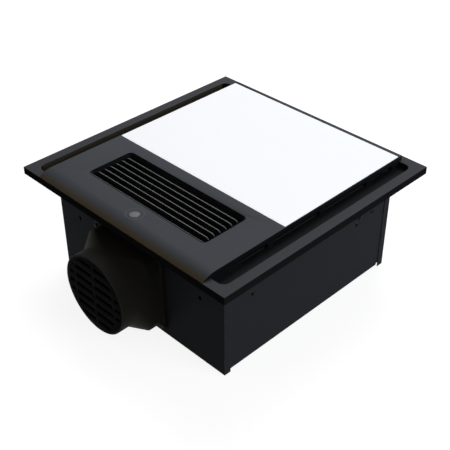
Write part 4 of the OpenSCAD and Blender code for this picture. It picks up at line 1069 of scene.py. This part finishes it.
@dataclass
class Louvre(SubAssembly):
    """Warm air outlet: bezel, vanes, their link and motor."""

    vanes: int = 6
    edge: float = 0.0003
    rim: float = 0.0005
    lip: float = 0.0022
    lip_edge: float = 0.0005
    crown: float = 0.004

    def build(self) -> None:
        """Builds the bezel and the vanes and dresses their drive."""
        low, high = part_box("outlet_bezel")
        rim, near = high.z - self.rim, low.y + self.lip
        bezel = self.soft("outlet_bezel", HOUSING, Finishes.BEZEL,
                          Rounding.above(rim, self.lip_edge))
        # Painted shade: the lip's far stretches and its forward faces are painted near-black.
        Shape.paint(bezel, Finishes.BEZEL_SHADE,
                    lambda centre, normal: centre.z > rim
                    and (centre.y > near or normal.y < FORWARDS))
        # Painted highlight: the level top of the lip's near stretch is painted light grey.
        Shape.paint(bezel, Finishes.BEZEL_HIGHLIGHT,
                    lambda centre, normal: centre.z > rim and centre.y < near
                    and normal.z > LEVEL)
        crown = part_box("vane_1")[1].z - self.crown
        for number in range(1, self.vanes + 1):
            vane = self.soft(f"vane_{number}", f"vane_{number}", Finishes.VANE,
                             Rounding.above(crown, self.edge))
            # Painted highlight: each vane's upward top faces are painted light grey.
            Shape.paint(vane, Finishes.VANE_HIGHLIGHT,
                        lambda centre, normal: normal.z > UPWARDS and centre.z > crown)
        self.keep(Finishes.ZINC, "vane_link", "vane_motor_bracket")
        self.keep(Finishes.STEEL, "vane_motor", "vane_motor_shaft")


@dataclass
class SheetBox(SubAssembly):
    """Sheet metal box: back channel, end walls and side screws."""

    edge: float = 0.0003
    channel_edge: float = 0.02
    wall_edge: float = 0.003
    side_wall: float = 0.145
    stem: float = 0.006

    def build(self) -> None:
        """Builds the sheets, whose longer edges are rounded, and the screws in the side walls."""
        for node, shortest in (("back_channel", self.channel_edge),
                               ("end_wall_duct", self.wall_edge), ("end_wall_far", self.wall_edge)):
            self.soft(node, HOUSING, Finishes.SHEET,
                      Rounding(self.edge, picks=lambda edge: edge.calc_length() > shortest))
        low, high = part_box("side_screws")
        y, z = (low.y + high.y) / 2, (low.z + high.z) / 2
        places = [Matrix.Translation((side * self.side_wall, y, z))
                  @ Matrix.Rotation(side * math.pi / 2, 4, "Y") for side in (-1, 1)]
        screw = Screw((high.z - low.z) / 2, high.x - self.side_wall, self.stem)
        self.screws("side_screws", "side_screw_heads", screw, places)


@dataclass
class DuctOutlet(SubAssembly):
    """Duct adapter with its guard, backdraught flaps and screws."""

    edge: Rounding = Rounding(0.0002)
    head_radius: float = 0.0026
    head_height: float = 0.0016

    def build(self) -> None:
        """Builds the adapter, the guard, the flaps and the screws in the flange's corners."""
        self.soft("duct_adapter", HOUSING, Finishes.ADAPTER)
        self.soft("duct_guard", HOUSING, Finishes.GUARD)
        for flap in ("flap_left", "flap_right"):
            self.soft(flap, flap, Finishes.ALUMINIUM, self.edge)
        self.keep(Finishes.STEEL, "flap_pin")
        low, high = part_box("adapter_screws")
        radius, face = self.head_radius, low.y + self.head_height
        turn = Matrix.Rotation(math.pi / 2, 4, "X")
        ends_x, ends_z = ((near + radius, far - radius)
                          for near, far in ((low.x, high.x), (low.z, high.z)))
        places = [Matrix.Translation((x, face, z)) @ turn for x in ends_x for z in ends_z]
        screw = Screw(radius, self.head_height, high.y - face)
        self.screws("adapter_screws", "adapter_screw_heads", screw, places)


@dataclass
class AirPath(SubAssembly):
    """Air chamber, changeover damper, heater and blower inside the box."""

    def build(self) -> None:
        """Dresses the parts along the air's way."""
        self.keep(Finishes.GUIDE, "outlet_chamber", "chamber_lid", "scroll_base", "scroll_cover",
                  "impeller")
        self.keep(Finishes.PLATE, "damper_plate")
        self.keep(Finishes.RUBBER, "damper_seal", "scroll_feet", "motor_grommets")
        self.keep(Finishes.STEEL, "damper_shaft", "damper_motor", "motor_shaft")
        self.keep(Finishes.ZINC, "heater_frame", "motor_screws")
        self.keep(Finishes.ALUMINIUM, "heater_fins", "heater_bars")
        self.keep(Finishes.PHENOLIC, "thermal_cutouts")
        self.keep(Finishes.CAST, "fan_motor")
        self.keep(Finishes.BRASS, "impeller_nut")


@dataclass
class Electrics(SubAssembly):
    """Control box, light driver, capacitor, terminals and cable gland."""

    def build(self) -> None:
        """Dresses the electric parts."""
        self.keep(Finishes.GUIDE, "control_box")
        self.keep(Finishes.SHEET, "control_cover")
        self.keep(Finishes.BOARD, "control_board")
        self.keep(Finishes.RELAY, "control_parts")
        self.keep(Finishes.WHITE, "light_driver", "run_capacitor", "terminal_block")
        self.soft("cable_gland", HOUSING, Finishes.ADAPTER)


# ---------------------------------------------------------------- studio


@dataclass(frozen=True)
class Lamp:
    """Soft square lamp; its place, target and side in metres, its power in watts."""

    name: str
    place: Point
    target: Point
    side: float
    power: float
    colour: Point

    def hang(self) -> None:
        """Puts the lamp into the scene."""
        data = bpy.data.lights.new(self.name, "AREA")
        data.shape = "SQUARE"
        data.size = self.side
        data.energy = self.power
        data.color = self.colour
        lamp = bpy.data.objects.new(self.name, data)
        lamp.location = self.place
        aim = Vector(self.target) - Vector(self.place)
        lamp.rotation_euler = aim.to_track_quat("-Z", "Y").to_euler()
        bpy.context.scene.collection.objects.link(lamp)


@dataclass
class Studio:
    """Camera, lamps, floor and world; angles in degrees, the lens in millimetres."""

    eye: Point = (0.65840, -0.65256, 0.73043)
    azimuth: float = 45.2727
    elevation: float = 35.7926
    roll: float = -0.1397
    lens: float = 71.25
    sensor: float = 36.0
    reach: float = 50.0
    floor_size: float = 12.0
    floor_colour: Colour = (0.3, 0.3, 0.3, 1.0)
    floor_seen: float = 0.88
    world_fill: float = 0.1
    world_seen: float = 0.9
    lamps: tuple[Lamp, ...] = (
        Lamp("lamp_top", (-0.9, 1.2, 2.2), (0.0, 0.0, 0.1), 1.6, 38.0, (0.98, 0.99, 1.0)),
        Lamp("lamp_side", (2.1, 0.5, 1.3), (0.1, 0.0, 0.1), 1.4, 23.0, (0.95, 0.98, 1.0)),
        Lamp("lamp_front", (-0.4, -1.2, 2.2), (0.0, 0.0, 0.12), 1.0, 2.0, (1.0, 0.86, 0.66)))

    def build(self) -> None:
        """Sets up everything around the object."""
        bpy.context.scene.view_settings.view_transform = "Standard"
        self.camera()
        self.floor()
        self.world()
        for lamp in self.lamps:
            lamp.hang()

    def camera(self) -> None:
        """Places the camera as the photograph was taken."""
        az, el, roll = (math.radians(v) for v in (self.azimuth, self.elevation, self.roll))
        back = Vector((math.sin(az) * math.cos(el), -math.cos(az) * math.cos(el), math.sin(el)))
        right = Vector((0, 0, 1)).cross(back).normalized()
        up = back.cross(right)
        turned_right = right * math.cos(roll) + up * math.sin(roll)
        turned_up = up * math.cos(roll) - right * math.sin(roll)
        data = bpy.data.cameras.new("camera")
        data.lens = self.lens
        data.sensor_width = self.sensor
        data.clip_end = self.reach
        camera = bpy.data.objects.new("camera", data)
        basis = Matrix((turned_right, turned_up, back)).transposed().to_4x4()
        camera.matrix_world = Matrix.Translation(self.eye) @ basis
        bpy.context.scene.collection.objects.link(camera)
        bpy.context.scene.camera = camera

    def floor(self) -> None:
        """Makes the plain pale floor, white to the camera and in gloss, that keeps the shadow."""
        work = bmesh.new()
        bmesh.ops.create_grid(work, x_segments=1, y_segments=1, size=self.floor_size / 2)
        mesh = Shape.finish_mesh(work, "floor")
        material = bpy.data.materials.new("floor_pale")
        material.use_nodes = True
        graph = Graph(material.node_tree)
        graph.feed(graph.shader, {
            "Base Color": self.floor_colour, "Roughness": 0.9, "Specular IOR Level": 0.0,
            "Emission Color": WHITE, "Emission Strength": self.seen(graph, self.floor_seen)})
        piece = bpy.data.objects.new("floor", mesh)
        mesh.materials.append(material)
        bpy.context.scene.collection.objects.link(piece)

    @staticmethod
    def seen(graph: Graph, strength: float) -> bpy.types.NodeSocket:
        """Gives a strength to camera, glossy and transmission rays alone.

        Args:
            graph: Nodes that it is for.
            strength: The strength.

        Returns:
            The socket with the strength.
        """
        rays = graph.add("LightPath", {}).outputs
        share = graph.math("MAXIMUM", rays["Is Camera Ray"], rays["Is Glossy Ray"])
        share = graph.math("MAXIMUM", share, rays["Is Transmission Ray"])
        return graph.math("MULTIPLY", share, strength)

    def world(self) -> None:
        """Makes the world: soft light on the object, white where it is seen."""
        world = bpy.data.worlds.new("studio")
        bpy.context.scene.world = world
        world.use_nodes = True
        graph = Graph(world.node_tree)
        strength = graph.math("ADD", self.seen(graph, self.world_seen), self.world_fill)
        graph.feed(world.node_tree.nodes["Background"], {"Color": WHITE, "Strength": strength})


def main() -> None:
    """Builds each sub-assembly in order and reports its pieces."""
    logging.basicConfig(level=logging.INFO, format="%(name)s: %(message)s")
    Studio().build()
    for assembly in (Fascia(), CentrePanel(), LightPanel(), Louvre(), SheetBox(), DuctOutlet(),
                     AirPath(), Electrics()):
        assembly.build()
        for piece in assembly.made:
            LOG.info("%s: %s", type(assembly).__name__, piece.name)
    bpy.context.view_layer.update()


if __name__ == "__main__":
    main()
